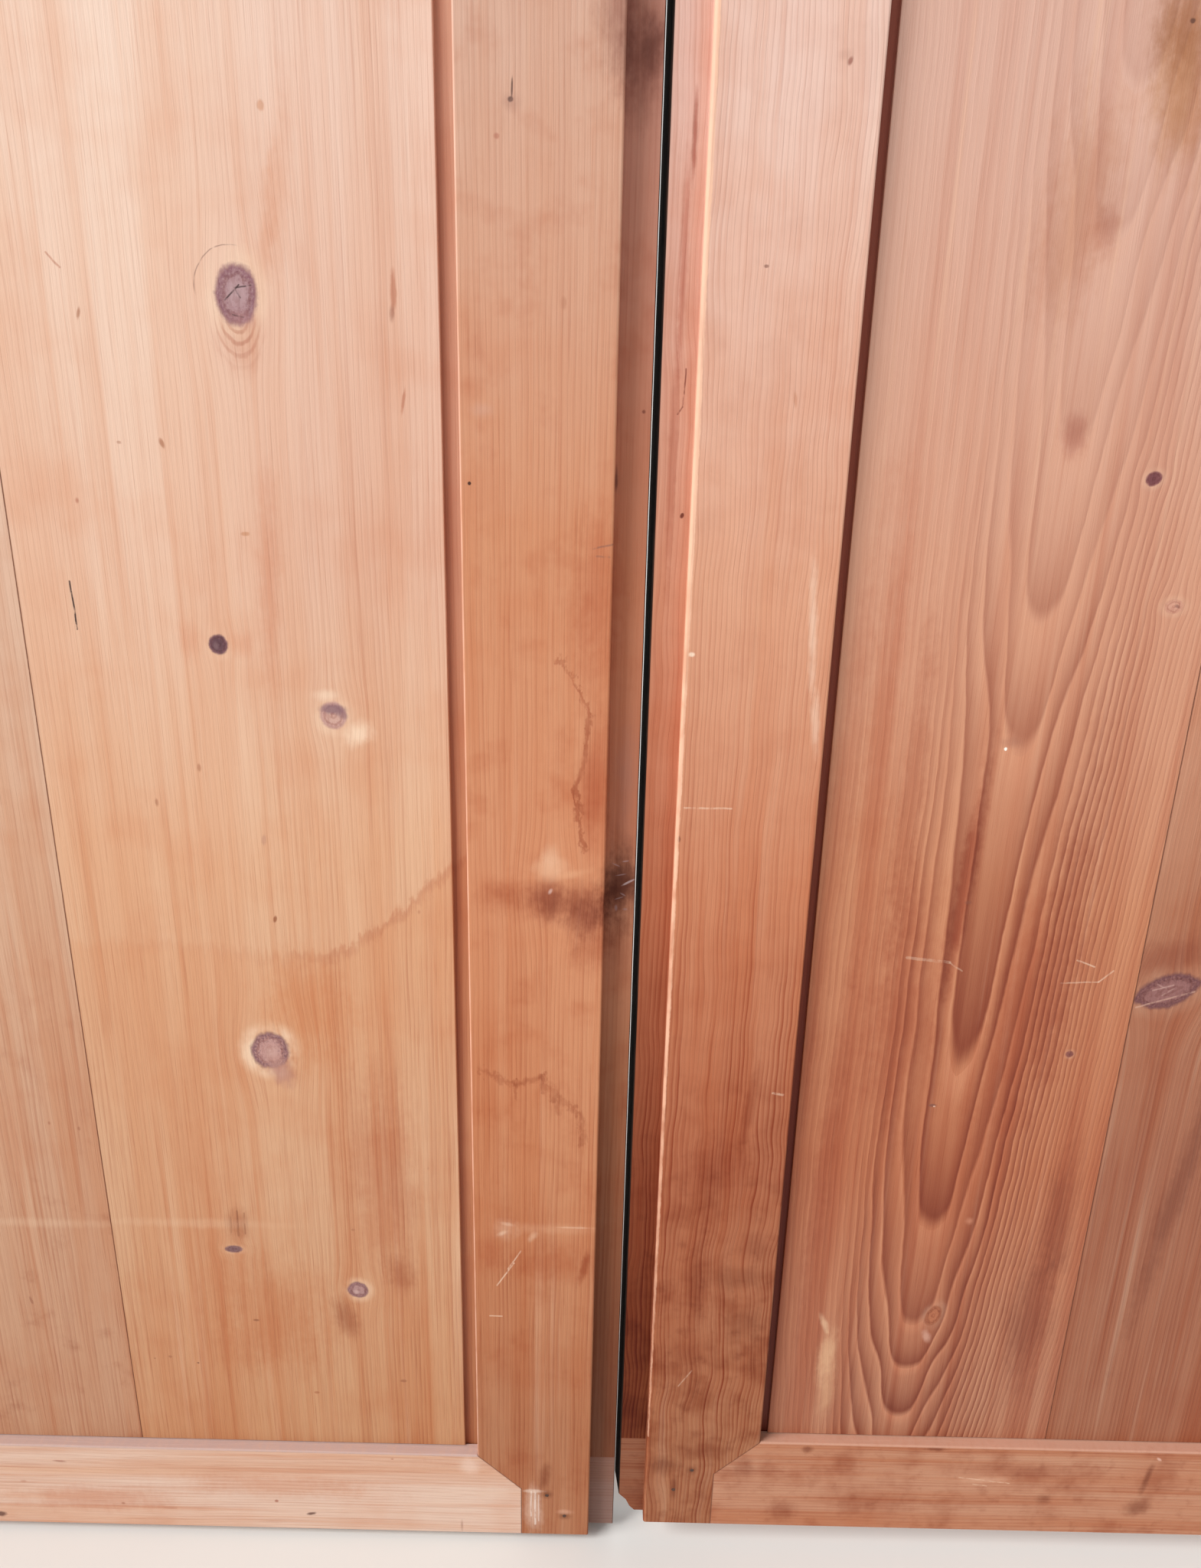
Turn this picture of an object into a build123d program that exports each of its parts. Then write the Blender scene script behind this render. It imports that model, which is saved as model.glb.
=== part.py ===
from build123d import *
import os

# Pair of framed and panelled barn door leaves in a plain timber frame, in millimetres.
# X runs along the width, +Y to the back, +Z up. The origin is on the floor, in the middle
# of the width and of the depth. Pieces are drawn with their own front face at y = 0 and
# with u, the distance from the middle of the meeting gap; the left side is mirrored.

# Door leaf
LEAF_WIDTH = 790.0
LEAF_THICKNESS = 36.0
LEFT_LEAF_HEIGHT = 2000.0
LEFT_FLOOR_GAP = 8.0
RIGHT_HANGS_HIGHER = 18.0
MEETING_GAP = 4.6
MEETING_SPLAY = 3.4
LIP_WIDTH = 22.5
MEETING_STILE_FACE = 100.0
HINGE_STILE_FACE = 110.0
LEFT_RAIL_FACE = 94.5
RIGHT_RAIL_FACE = 100.0
FRONT_CHEEK = 12.0
TENON_THICKNESS = 12.0
MITRE_LENGTH = 39.0
WORN_ARRIS = 1.5
WORN_LIP_ARRIS = 2.4

# Panel boards
GROOVE_DEPTH = 12.0
FIELD_SET_BACK = 10.0
MARGIN_SINK = 3.0
SIDE_TONGUE = 10.0
END_TONGUE = 10.0
SEAT_CLEARANCE = 0.3
END_SHOULDER_GAP = 1.0
FIELD_ARRIS = 0.8
LEFT_MARGIN = 12.0
RIGHT_MARGIN = 7.5
LEFT_INNER_BOARD = 289.0
RIGHT_INNER_BOARD = 247.0
BOARD_EASING = 0.35

# Nails through the corner joints
NAIL_RADIUS = 1.7
NAIL_LENGTH = 30.0
LEFT_NAIL_PLACES = ((38.0, 48.0), (22.0, 23.0))
RIGHT_NAIL_PLACES = ((41.5, 65.0), (26.0, 41.0))

# Broken lower corner of the right lip: points across and up from the corner
BREAK_PROFILE = ((0.0, 20.0), (6.5, 13.0), (10.0, 5.0), (14.5, 0.0))

# Door frame
JAMB_DEPTH = 95.0
JAMB_FACE = 55.0
HEAD_FACE = 55.0
STOP_WIDTH = 15.0
STOP_CLEARANCE = 2.0
HEAD_CLEARANCE = 3.0
HINGE_GAP = 3.0
FRAME_TENON_THICKNESS = 30.0
FRAME_TENON_WIDTH = 35.0
PEG_RADIUS = 6.0
FIXING_RADIUS = 4.0
FIXING_COUNT = 4
LOWEST_FIXING_RISE = 250.0
HIGHEST_FIXING_DROP = 261.0

# Butt hinges
LOWER_HINGE_RISE = 242.0
UPPER_HINGE_DROP = 258.0
FLAP_LENGTH = 100.0
FLAP_WIDTH = 30.0
FLAP_THICKNESS = 2.5
BARREL_RADIUS = 5.5
BARREL_CLEARANCE = 0.5
KNUCKLES = 5
KNUCKLE_GAP = 0.3
PIN_RADIUS = 3.0
PIN_CLEARANCE = 0.05
PIN_HEAD_RADIUS = 4.5
PIN_HEAD_HEIGHT = 2.5
SCREW_HEAD_RADIUS = 4.0
SCREW_HEAD_DEPTH = 2.0
SCREW_SHANK_RADIUS = 2.0
SCREW_LENGTH = 28.0
SCREW_FIT = 0.05
SCREW_PLACES = ((-36.0, 10.0), (0.0, 20.0), (36.0, 10.0))
CUT_OVER = 5.0
FROM_END = (Align.CENTER, Align.CENTER, Align.MIN)

# Places worked out from the sizes above
BACK_CHEEK_FRONT = FRONT_CHEEK + TENON_THICKNESS
EDGE_U = MEETING_GAP / 2
FACE_U = EDGE_U + LIP_WIDTH
STILE_INNER_U = FACE_U + MEETING_STILE_FACE
OUTER_U = EDGE_U + LEAF_WIDTH
HINGE_STILE_INNER_U = OUTER_U - HINGE_STILE_FACE
LEAF_TOP = LEFT_FLOOR_GAP + LEFT_LEAF_HEIGHT
MARGIN_FRONT = FIELD_SET_BACK + MARGIN_SINK
PANEL_BACK = BACK_CHEEK_FRONT - SEAT_CLEARANCE
CHEEK_U = OUTER_U + HINGE_GAP
STOP_FRONT = LEAF_THICKNESS + STOP_CLEARANCE
JAMB_TOP = LEAF_TOP + HEAD_CLEARANCE
FRAME_TOP = JAMB_TOP + HEAD_FACE
FRAME_OUTER_U = CHEEK_U + JAMB_FACE
AXIS_U = OUTER_U + HINGE_GAP / 2
AXIS_Y = -(BARREL_RADIUS + BARREL_CLEARANCE)
KNUCKLE_LENGTH = (FLAP_LENGTH - (KNUCKLES - 1) * KNUCKLE_GAP) / KNUCKLES
FRONT_Y = -(JAMB_DEPTH + AXIS_Y - BARREL_RADIUS) / 2
LOWER_HINGE_Z = LEFT_FLOOR_GAP + LOWER_HINGE_RISE
UPPER_HINGE_Z = LEAF_TOP - UPPER_HINGE_DROP
HINGE_HEIGHTS = {
    "lower": LOWER_HINGE_Z,
    "middle": (LOWER_HINGE_Z + UPPER_HINGE_Z) / 2,
    "upper": UPPER_HINGE_Z,
}
FIXING_STEP = (JAMB_TOP - HIGHEST_FIXING_DROP - LOWEST_FIXING_RISE) / (FIXING_COUNT - 1)
FIXING_HEIGHTS = [LOWEST_FIXING_RISE + index * FIXING_STEP for index in range(FIXING_COUNT)]

LEFT = {
    "name": "left",
    "bottom": LEFT_FLOOR_GAP,
    "rail_face": LEFT_RAIL_FACE,
    "nail_places": LEFT_NAIL_PLACES,
    "back_edge_u": EDGE_U + MEETING_SPLAY,
    "margin": LEFT_MARGIN,
    "inner_board": LEFT_INNER_BOARD,
    "lip_arris": WORN_ARRIS,
    "broken": False,
}
RIGHT = {
    "name": "right",
    "bottom": LEFT_FLOOR_GAP + RIGHT_HANGS_HIGHER,
    "rail_face": RIGHT_RAIL_FACE,
    "nail_places": RIGHT_NAIL_PLACES,
    "back_edge_u": EDGE_U - MEETING_SPLAY,
    "margin": RIGHT_MARGIN,
    "inner_board": RIGHT_INNER_BOARD,
    "lip_arris": WORN_LIP_ARRIS,
    "broken": True,
}


def block(u, y, z):
    """Box between two values on each axis."""
    size = (u[1] - u[0], y[1] - y[0], z[1] - z[0])
    low_corner = (Align.MIN, Align.MIN, Align.MIN)
    return Pos(u[0], y[0], z[0]) * Box(*size, align=low_corner)


def upright(points, z, rounded=()):
    """Section drawn in u and y, run up from z[0] to z[1], with some corners rounded."""
    sketch = Polygon(*points, align=None)
    for corner, radius in rounded:
        sketch = fillet(sketch.vertices().sort_by_distance((corner[0], corner[1], 0))[0], radius)
    return Pos(0, 0, z[0]) * extrude(sketch, z[1] - z[0], dir=(0, 0, 1))


def plate(points, y):
    """Outline drawn in u and z, with its thickness from y[0] to y[1]."""
    facing = Plane((0, y[1], 0), x_dir=(1, 0, 0), z_dir=(0, -1, 0))
    return extrude(facing * Polygon(*points, align=None), y[1] - y[0], dir=(0, -1, 0))


def across(radius, u, y, z):
    """Cylinder along u."""
    return Pos(u[0], y, z) * Rot(0, 90, 0) * Cylinder(radius, u[1] - u[0], align=FROM_END)


def through(radius, u, y, z):
    """Cylinder along y, from the front towards the back."""
    return Pos(u, y[0], z) * Rot(-90, 0, 0) * Cylinder(radius, y[1] - y[0], align=FROM_END)


def post(radius, u, y, z):
    """Cylinder standing along z."""
    return Pos(u, y, z[0]) * Cylinder(radius, z[1] - z[0], align=FROM_END)


def rail_ends(leaf):
    """Outer edge, inner edge and direction to the panel of the bottom and the top rail."""
    bottom = (leaf["bottom"], leaf["bottom"] + leaf["rail_face"], 1)
    top = (LEAF_TOP, LEAF_TOP - leaf["rail_face"], -1)
    return {"bottom_rail": bottom, "top_rail": top}


def rail_space(outer_z, inner_z, inward):
    """Room that a rail takes: mitred front cheek, through tenon and square back cheek."""
    mitre_z = inner_z - inward * MITRE_LENGTH
    meeting_shoulder = STILE_INNER_U - MITRE_LENGTH
    hinge_shoulder = HINGE_STILE_INNER_U + MITRE_LENGTH
    front = plate(
        [
            (STILE_INNER_U, inner_z),
            (meeting_shoulder, mitre_z),
            (meeting_shoulder, outer_z),
            (hinge_shoulder, outer_z),
            (hinge_shoulder, mitre_z),
            (HINGE_STILE_INNER_U, inner_z),
        ],
        (0, FRONT_CHEEK),
    )
    tenon_z = sorted((outer_z, inner_z - inward * GROOVE_DEPTH))
    tenon_u = (EDGE_U - MEETING_SPLAY - CUT_OVER, OUTER_U + CUT_OVER)
    tenon = block(tenon_u, (FRONT_CHEEK, BACK_CHEEK_FRONT), tenon_z)
    back_u = (STILE_INNER_U, HINGE_STILE_INNER_U)
    back = block(back_u, (BACK_CHEEK_FRONT, LEAF_THICKNESS), sorted((outer_z, inner_z)))
    return front + tenon + back


def meeting_profile(leaf, inner_u):
    """Section from the splayed meeting edge, over the front lip, to inner_u."""
    return [
        (EDGE_U, FRONT_CHEEK),
        (FACE_U, FRONT_CHEEK),
        (FACE_U, 0),
        (inner_u, 0),
        (inner_u, LEAF_THICKNESS),
        (leaf["back_edge_u"], LEAF_THICKNESS),
    ]


def nail_places(leaf):
    """Places of the nails, in u and z, at the four corners of a leaf."""
    places = []
    for outer_z, _, inward in rail_ends(leaf).values():
        for across_face, up in leaf["nail_places"]:
            places.append((FACE_U + across_face, outer_z + inward * up))
            places.append((OUTER_U - across_face, outer_z + inward * up))
    return places


def nails(leaf, fit=0.0):
    """Nails driven from the front through cheek and tenon."""
    reach = (-CUT_OVER if fit else 0.0, NAIL_LENGTH)
    return [through(NAIL_RADIUS + fit, u, reach, z) for u, z in nail_places(leaf)]


def broken_corner(leaf):
    """Piece split off the lower end of the lip."""
    corner = [(EDGE_U + across_lip, leaf["bottom"] + up) for across_lip, up in BREAK_PROFILE]
    first = (EDGE_U - MEETING_SPLAY - CUT_OVER, corner[0][1])
    last = (corner[-1][0], leaf["bottom"] - CUT_OVER)
    under = (first[0], last[1])
    return plate([first] + corner + [last, under], (FRONT_CHEEK - CUT_OVER, LEAF_THICKNESS + CUT_OVER))


def hinge_flap_room(side_u, outward):
    """Recesses that let the hinge flaps in flush, from the edge at side_u."""
    u = sorted((side_u, side_u + outward * FLAP_THICKNESS))
    rooms = []
    for middle in HINGE_HEIGHTS.values():
        z = (middle - FLAP_LENGTH / 2, middle + FLAP_LENGTH / 2)
        rooms.append(block(u, (-CUT_OVER, FLAP_WIDTH), z))
    return rooms


def screws(side_u, outward, fit=0.0):
    """Countersunk screws of the flaps on the edge at side_u, driven the outward way."""
    made = []
    for middle in HINGE_HEIGHTS.values():
        for up, back in SCREW_PLACES:
            head_end = SCREW_HEAD_DEPTH * outward
            shank_u = sorted((side_u + head_end, side_u + outward * SCREW_LENGTH))
            shank = across(SCREW_SHANK_RADIUS + fit, shank_u, back, middle + up)
            head = Pos(side_u + head_end / 2, back, middle + up) * Rot(0, 90 * outward, 0) * Cone(
                SCREW_HEAD_RADIUS + fit, SCREW_SHANK_RADIUS + fit, SCREW_HEAD_DEPTH
            )
            made.append(head + shank)
    return made


def meeting_stile(leaf):
    """Stile on the meeting side, with its front lip and the slots for both rails."""
    z = (leaf["bottom"], LEAF_TOP)
    rounded = [((FACE_U, 0), leaf["lip_arris"]), ((STILE_INNER_U, 0), WORN_ARRIS)]
    stile = upright(meeting_profile(leaf, STILE_INNER_U), z, rounded)
    stile -= block((STILE_INNER_U - GROOVE_DEPTH, STILE_INNER_U), (FRONT_CHEEK, BACK_CHEEK_FRONT), z)
    for ends in rail_ends(leaf).values():
        stile -= rail_space(*ends)
    if leaf["broken"]:
        stile -= broken_corner(leaf)
    return stile - nails(leaf, SCREW_FIT)


def hinge_stile(leaf):
    """Stile on the hinge side, let in for the leaf flaps."""
    z = (leaf["bottom"], LEAF_TOP)
    profile = [
        (HINGE_STILE_INNER_U, 0),
        (OUTER_U, 0),
        (OUTER_U, LEAF_THICKNESS),
        (HINGE_STILE_INNER_U, LEAF_THICKNESS),
    ]
    rounded = [((HINGE_STILE_INNER_U, 0), WORN_ARRIS), ((OUTER_U, 0), WORN_ARRIS)]
    stile = upright(profile, z, rounded)
    groove_u = (HINGE_STILE_INNER_U, HINGE_STILE_INNER_U + GROOVE_DEPTH)
    stile -= block(groove_u, (FRONT_CHEEK, BACK_CHEEK_FRONT), z)
    for ends in rail_ends(leaf).values():
        stile -= rail_space(*ends)
    stile -= hinge_flap_room(OUTER_U, -1)
    stile -= screws(OUTER_U, -1, SCREW_FIT)
    return stile - nails(leaf, SCREW_FIT)


def rail(leaf, outer_z, inner_z, inward):
    """Rail with a mitred, haunched bridle joint at each end."""
    bar = block((EDGE_U - MEETING_SPLAY, OUTER_U), (0, LEAF_THICKNESS), sorted((outer_z, inner_z)))
    front_edges = bar.edges().filter_by(Axis.X).group_by(Axis.Y)[0]
    bar = fillet(front_edges.sort_by_distance((0, 0, inner_z))[0], WORN_ARRIS)
    shape = bar & rail_space(outer_z, inner_z, inward)
    shape &= upright(meeting_profile(leaf, OUTER_U), sorted((outer_z, inner_z)))
    if leaf["broken"]:
        shape -= broken_corner(leaf)
    return shape - nails(leaf, SCREW_FIT)


def board(leaf, stile_u, joint_u):
    """Panel board from the groove of a stile to the glued joint between the boards."""
    away = 1 if joint_u > stile_u else -1
    bottom_z = leaf["bottom"] + leaf["rail_face"]
    top_z = LEAF_TOP - leaf["rail_face"]
    tongue_u = sorted((stile_u - away * SIDE_TONGUE, joint_u))
    tongue_z = (bottom_z - GROOVE_DEPTH + SEAT_CLEARANCE, top_z + END_TONGUE)
    tongue = block(tongue_u, (MARGIN_FRONT, PANEL_BACK), tongue_z)
    edge_u = stile_u + away * leaf["margin"]
    field_z = (bottom_z + END_SHOULDER_GAP, top_z - END_SHOULDER_GAP)
    field = block(sorted((edge_u, joint_u)), (FIELD_SET_BACK, MARGIN_FRONT), field_z)
    arrises = field.edges().filter_by(Axis.Z).group_by(Axis.Y)[0].sort_by_distance((edge_u, 0, 0))
    field = fillet(arrises[0], FIELD_ARRIS)
    joint_edge = field.edges().filter_by(Axis.Z).group_by(Axis.Y)[0].sort_by_distance((joint_u, 0, 0))
    field = chamfer(joint_edge[0], BOARD_EASING)
    return field + tongue


def jamb():
    """Rebated post with a through tenon at its top and holes for the fixings."""
    z = (0, JAMB_TOP)
    profile = [
        (CHEEK_U, 0),
        (FRAME_OUTER_U, 0),
        (FRAME_OUTER_U, JAMB_DEPTH),
        (CHEEK_U - STOP_WIDTH, JAMB_DEPTH),
        (CHEEK_U - STOP_WIDTH, STOP_FRONT),
        (CHEEK_U, STOP_FRONT),
    ]
    rounded = [((CHEEK_U, 0), WORN_ARRIS), ((FRAME_OUTER_U, 0), WORN_ARRIS)]
    post_shape = upright(profile, z, rounded) + frame_tenon()
    post_shape -= hinge_flap_room(CHEEK_U, 1)
    post_shape -= screws(CHEEK_U, 1, SCREW_FIT)
    hole_u = (CHEEK_U - STOP_WIDTH - CUT_OVER, FRAME_OUTER_U + CUT_OVER)
    for height in FIXING_HEIGHTS:
        post_shape -= across(FIXING_RADIUS, hole_u, fixing_y(), height)
    return post_shape - head_peg(SCREW_FIT)


def fixing_y():
    """Depth of the fixing holes, in the middle of the stop."""
    return (STOP_FRONT + JAMB_DEPTH) / 2


def frame_tenon():
    """Tenon at the top of a jamb."""
    middle_u = (CHEEK_U + FRAME_OUTER_U) / 2
    u = (middle_u - FRAME_TENON_WIDTH / 2, middle_u + FRAME_TENON_WIDTH / 2)
    y = ((JAMB_DEPTH - FRAME_TENON_THICKNESS) / 2, (JAMB_DEPTH + FRAME_TENON_THICKNESS) / 2)
    return block(u, y, (JAMB_TOP, FRAME_TOP))


def head_peg(fit=0.0):
    """Peg through the head and the jamb's tenon."""
    over = CUT_OVER if fit else 0.0
    middle_u = (CHEEK_U + FRAME_OUTER_U) / 2
    middle_z = (JAMB_TOP + FRAME_TOP) / 2
    return through(PEG_RADIUS + fit, middle_u, (-over, JAMB_DEPTH + over), middle_z)


def head():
    """Rebated head over both jambs."""
    bar = block((-FRAME_OUTER_U, FRAME_OUTER_U), (0, JAMB_DEPTH), (JAMB_TOP, FRAME_TOP))
    front_edges = bar.edges().filter_by(Axis.X).group_by(Axis.Y)[0]
    bar = fillet(front_edges.sort_by(Axis.Z)[-1], WORN_ARRIS)
    stop_u = CHEEK_U - STOP_WIDTH
    bar += block((-stop_u, stop_u), (STOP_FRONT, JAMB_DEPTH), (JAMB_TOP - STOP_WIDTH, JAMB_TOP))
    for cut in (frame_tenon(), head_peg(SCREW_FIT)):
        bar -= cut
        bar -= mirror(cut, about=Plane.YZ)
    return bar


def knuckle_spans(middle, first):
    """Heights of every second knuckle of a hinge, counted from first."""
    low = middle - FLAP_LENGTH / 2
    step = KNUCKLE_LENGTH + KNUCKLE_GAP
    return [(low + index * step, low + index * step + KNUCKLE_LENGTH) for index in range(first, KNUCKLES, 2)]


def flap(middle, side_u, outward, first_knuckle, bore):
    """Hinge flap: a plate let into the wood and the knuckles rolled on its front edge."""
    u = sorted((side_u, side_u + outward * FLAP_THICKNESS))
    z = (middle - FLAP_LENGTH / 2, middle + FLAP_LENGTH / 2)
    shape = block(u, (0, FLAP_WIDTH), z)
    for span in knuckle_spans(middle, first_knuckle):
        shape += block(u, (AXIS_Y, 0), span)
        shape += post(BARREL_RADIUS, AXIS_U, AXIS_Y, span)
    shape -= post(bore, AXIS_U, AXIS_Y, z)
    return shape - screws(side_u, outward, SCREW_FIT)


def pin(middle):
    """Hinge pin with a low button head on top."""
    low = middle - FLAP_LENGTH / 2
    high = middle + FLAP_LENGTH / 2
    shank = post(PIN_RADIUS, AXIS_U, AXIS_Y, (low, high))
    button = post(PIN_HEAD_RADIUS, AXIS_U, AXIS_Y, (high, high + PIN_HEAD_HEIGHT))
    rim = button.edges().filter_by(GeomType.CIRCLE).sort_by(Axis.Z)[-1]
    return shank + fillet(rim, PIN_HEAD_HEIGHT / 2)


def leaf_pieces(leaf):
    """Every piece of one leaf, drawn for the right side."""
    joint_u = STILE_INNER_U + leaf["margin"] + leaf["inner_board"]
    pieces = {
        "meeting_stile": meeting_stile(leaf),
        "hinge_stile": hinge_stile(leaf),
        "inner_board": board(leaf, STILE_INNER_U, joint_u),
        "outer_board": board(leaf, HINGE_STILE_INNER_U, joint_u),
        "corner_nails": Compound(nails(leaf)),
        "leaf_screws": Compound(screws(OUTER_U, -1)),
    }
    for name, ends in rail_ends(leaf).items():
        pieces[name] = rail(leaf, *ends)
    for place, middle in HINGE_HEIGHTS.items():
        pieces[place + "_leaf_flap"] = flap(middle, OUTER_U, -1, 1, PIN_RADIUS + PIN_CLEARANCE)
    return pieces


def side_pieces():
    """Jamb and the hinge pieces fixed to it, drawn for the right side."""
    pieces = {"jamb": jamb(), "frame_screws": Compound(screws(CHEEK_U, 1))}
    for place, middle in HINGE_HEIGHTS.items():
        pieces[place + "_frame_flap"] = flap(middle, CHEEK_U, 1, 0, PIN_RADIUS)
        pieces[place + "_pin"] = pin(middle)
    return pieces


def whole_door():
    """All nodes by name, in the door's own frame."""
    nodes = {"head": head(), "head_pegs": Compound([head_peg(), mirror(head_peg(), about=Plane.YZ)])}
    for leaf in (LEFT, RIGHT):
        for name, piece in {**side_pieces(), **leaf_pieces(leaf)}.items():
            if leaf is LEFT:
                piece = mirror(piece, about=Plane.YZ)
            nodes[leaf["name"] + "_" + name] = piece
    return {name: Pos(0, FRONT_Y, 0) * piece for name, piece in nodes.items()}


os.makedirs("parts", exist_ok=True)
for node, shape in whole_door().items():
    export_step(shape, "parts/" + node + ".step")
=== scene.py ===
"""Looks of a pair of framed pine panel door leaves in their plain timber frame."""

import math
from collections import namedtuple

import bpy
from mathutils import Matrix, Vector


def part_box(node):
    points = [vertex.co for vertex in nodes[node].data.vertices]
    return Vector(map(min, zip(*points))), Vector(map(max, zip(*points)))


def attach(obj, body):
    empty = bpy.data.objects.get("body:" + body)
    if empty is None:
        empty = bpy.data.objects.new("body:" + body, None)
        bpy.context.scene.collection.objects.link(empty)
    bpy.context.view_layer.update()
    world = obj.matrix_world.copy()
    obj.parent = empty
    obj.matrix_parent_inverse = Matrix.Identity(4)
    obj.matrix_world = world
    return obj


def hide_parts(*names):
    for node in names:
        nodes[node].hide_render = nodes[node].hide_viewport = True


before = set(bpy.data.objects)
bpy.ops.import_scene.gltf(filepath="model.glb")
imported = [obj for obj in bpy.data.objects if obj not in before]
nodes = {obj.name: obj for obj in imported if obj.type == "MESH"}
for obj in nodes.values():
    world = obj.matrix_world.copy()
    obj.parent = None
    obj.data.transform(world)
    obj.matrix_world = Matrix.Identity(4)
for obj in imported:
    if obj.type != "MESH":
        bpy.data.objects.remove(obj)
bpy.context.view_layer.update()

MM = 0.001


def edge_of(node, side, axis):
    """Lowest (side 0) or highest (side 1) place of a piece along one axis, in millimetres."""
    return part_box(node)[side]["xyz".index(axis)] / MM


# Places that the finishes follow, in millimetres: some read from the pieces themselves, the others given as numbers.
FACE_Y = edge_of("left_meeting_stile", 0, "y")
FIELD_Y = edge_of("left_inner_board", 0, "y")
LIP_WIDTH = 22.5
LIP_Y = FACE_Y + 12.0
STILE_INNER = edge_of("right_meeting_stile", 1, "x")
LEFT_JOINT = edge_of("left_inner_board", 0, "x")
RIGHT_JOINT = edge_of("right_inner_board", 1, "x")
LEFT_MARGIN = 12.0
RIGHT_MARGIN = 7.5
LEFT_RAIL_TOP = edge_of("left_bottom_rail", 1, "z")
RIGHT_RAIL_TOP = edge_of("right_bottom_rail", 1, "z")
LEFT_BOTTOM = edge_of("left_bottom_rail", 0, "z")
RIGHT_BOTTOM = edge_of("right_bottom_rail", 0, "z")
GAP_EDGE = 2.3
MITRE = 39.0
LIP_TONES_TOP = 1250.0


def tone(red, green, blue):
    """A colour written 0 to 255 as the eye names it, as the shaders want it."""

    def straight(value):
        value /= 255
        return value / 12.92 if value <= 0.04045 else ((value + 0.055) / 1.055) ** 2.4

    return (straight(red), straight(green), straight(blue), 1.0)


class Measure:
    """A number that changes over a surface, with plain arithmetic."""

    def __init__(self, finish, socket):
        self.finish = finish
        self.socket = socket

    def __add__(self, other):
        return self.finish.number("ADD", self, other)

    __radd__ = __add__

    def __sub__(self, other):
        return self.finish.number("SUBTRACT", self, other)

    def __rsub__(self, other):
        return self.finish.number("SUBTRACT", other, self)

    def __mul__(self, other):
        return self.finish.number("MULTIPLY", self, other)

    __rmul__ = __mul__

    def __truediv__(self, other):
        return self.finish.number("DIVIDE", self, other)

    def __pow__(self, other):
        return self.finish.number("POWER", self, other)

    def size(self):
        return self.finish.number("ABSOLUTE", self)

    def fade(self, start, end, low=0.0, high=1.0):
        """Low up to start, high from end on, and a smooth step between."""
        node = self.finish.add("ShaderNodeMapRange")
        node.interpolation_type = "SMOOTHSTEP"
        for place, value in enumerate((self, start, end, low, high)):
            self.finish.feed(node.inputs[place], value)
        return Measure(self.finish, node.outputs[0])

    def curve(self, span, points):
        """A smooth line through (place, value) points, for places inside the span."""
        start, end = span
        values = [value for _, value in points]
        low, high = min(values), max(values)
        node = self.finish.add("ShaderNodeFloatCurve")
        line = node.mapping.curves[0]
        for place, value in points[1:-1]:
            line.points.new(0.5, 0.5)
        for point, (place, value) in zip(line.points, points):
            point.location = ((place - start) / (end - start), (value - low) / (high - low))
        node.mapping.update()
        self.finish.feed(node.inputs["Value"], self.fade_straight(start, end))
        return Measure(self.finish, node.outputs[0]) * (high - low) + low

    def fade_straight(self, start, end, low=0.0, high=1.0):
        node = self.finish.add("ShaderNodeMapRange")
        for place, value in enumerate((self, start, end, low, high)):
            self.finish.feed(node.inputs[place], value)
        return Measure(self.finish, node.outputs[0])


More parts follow.
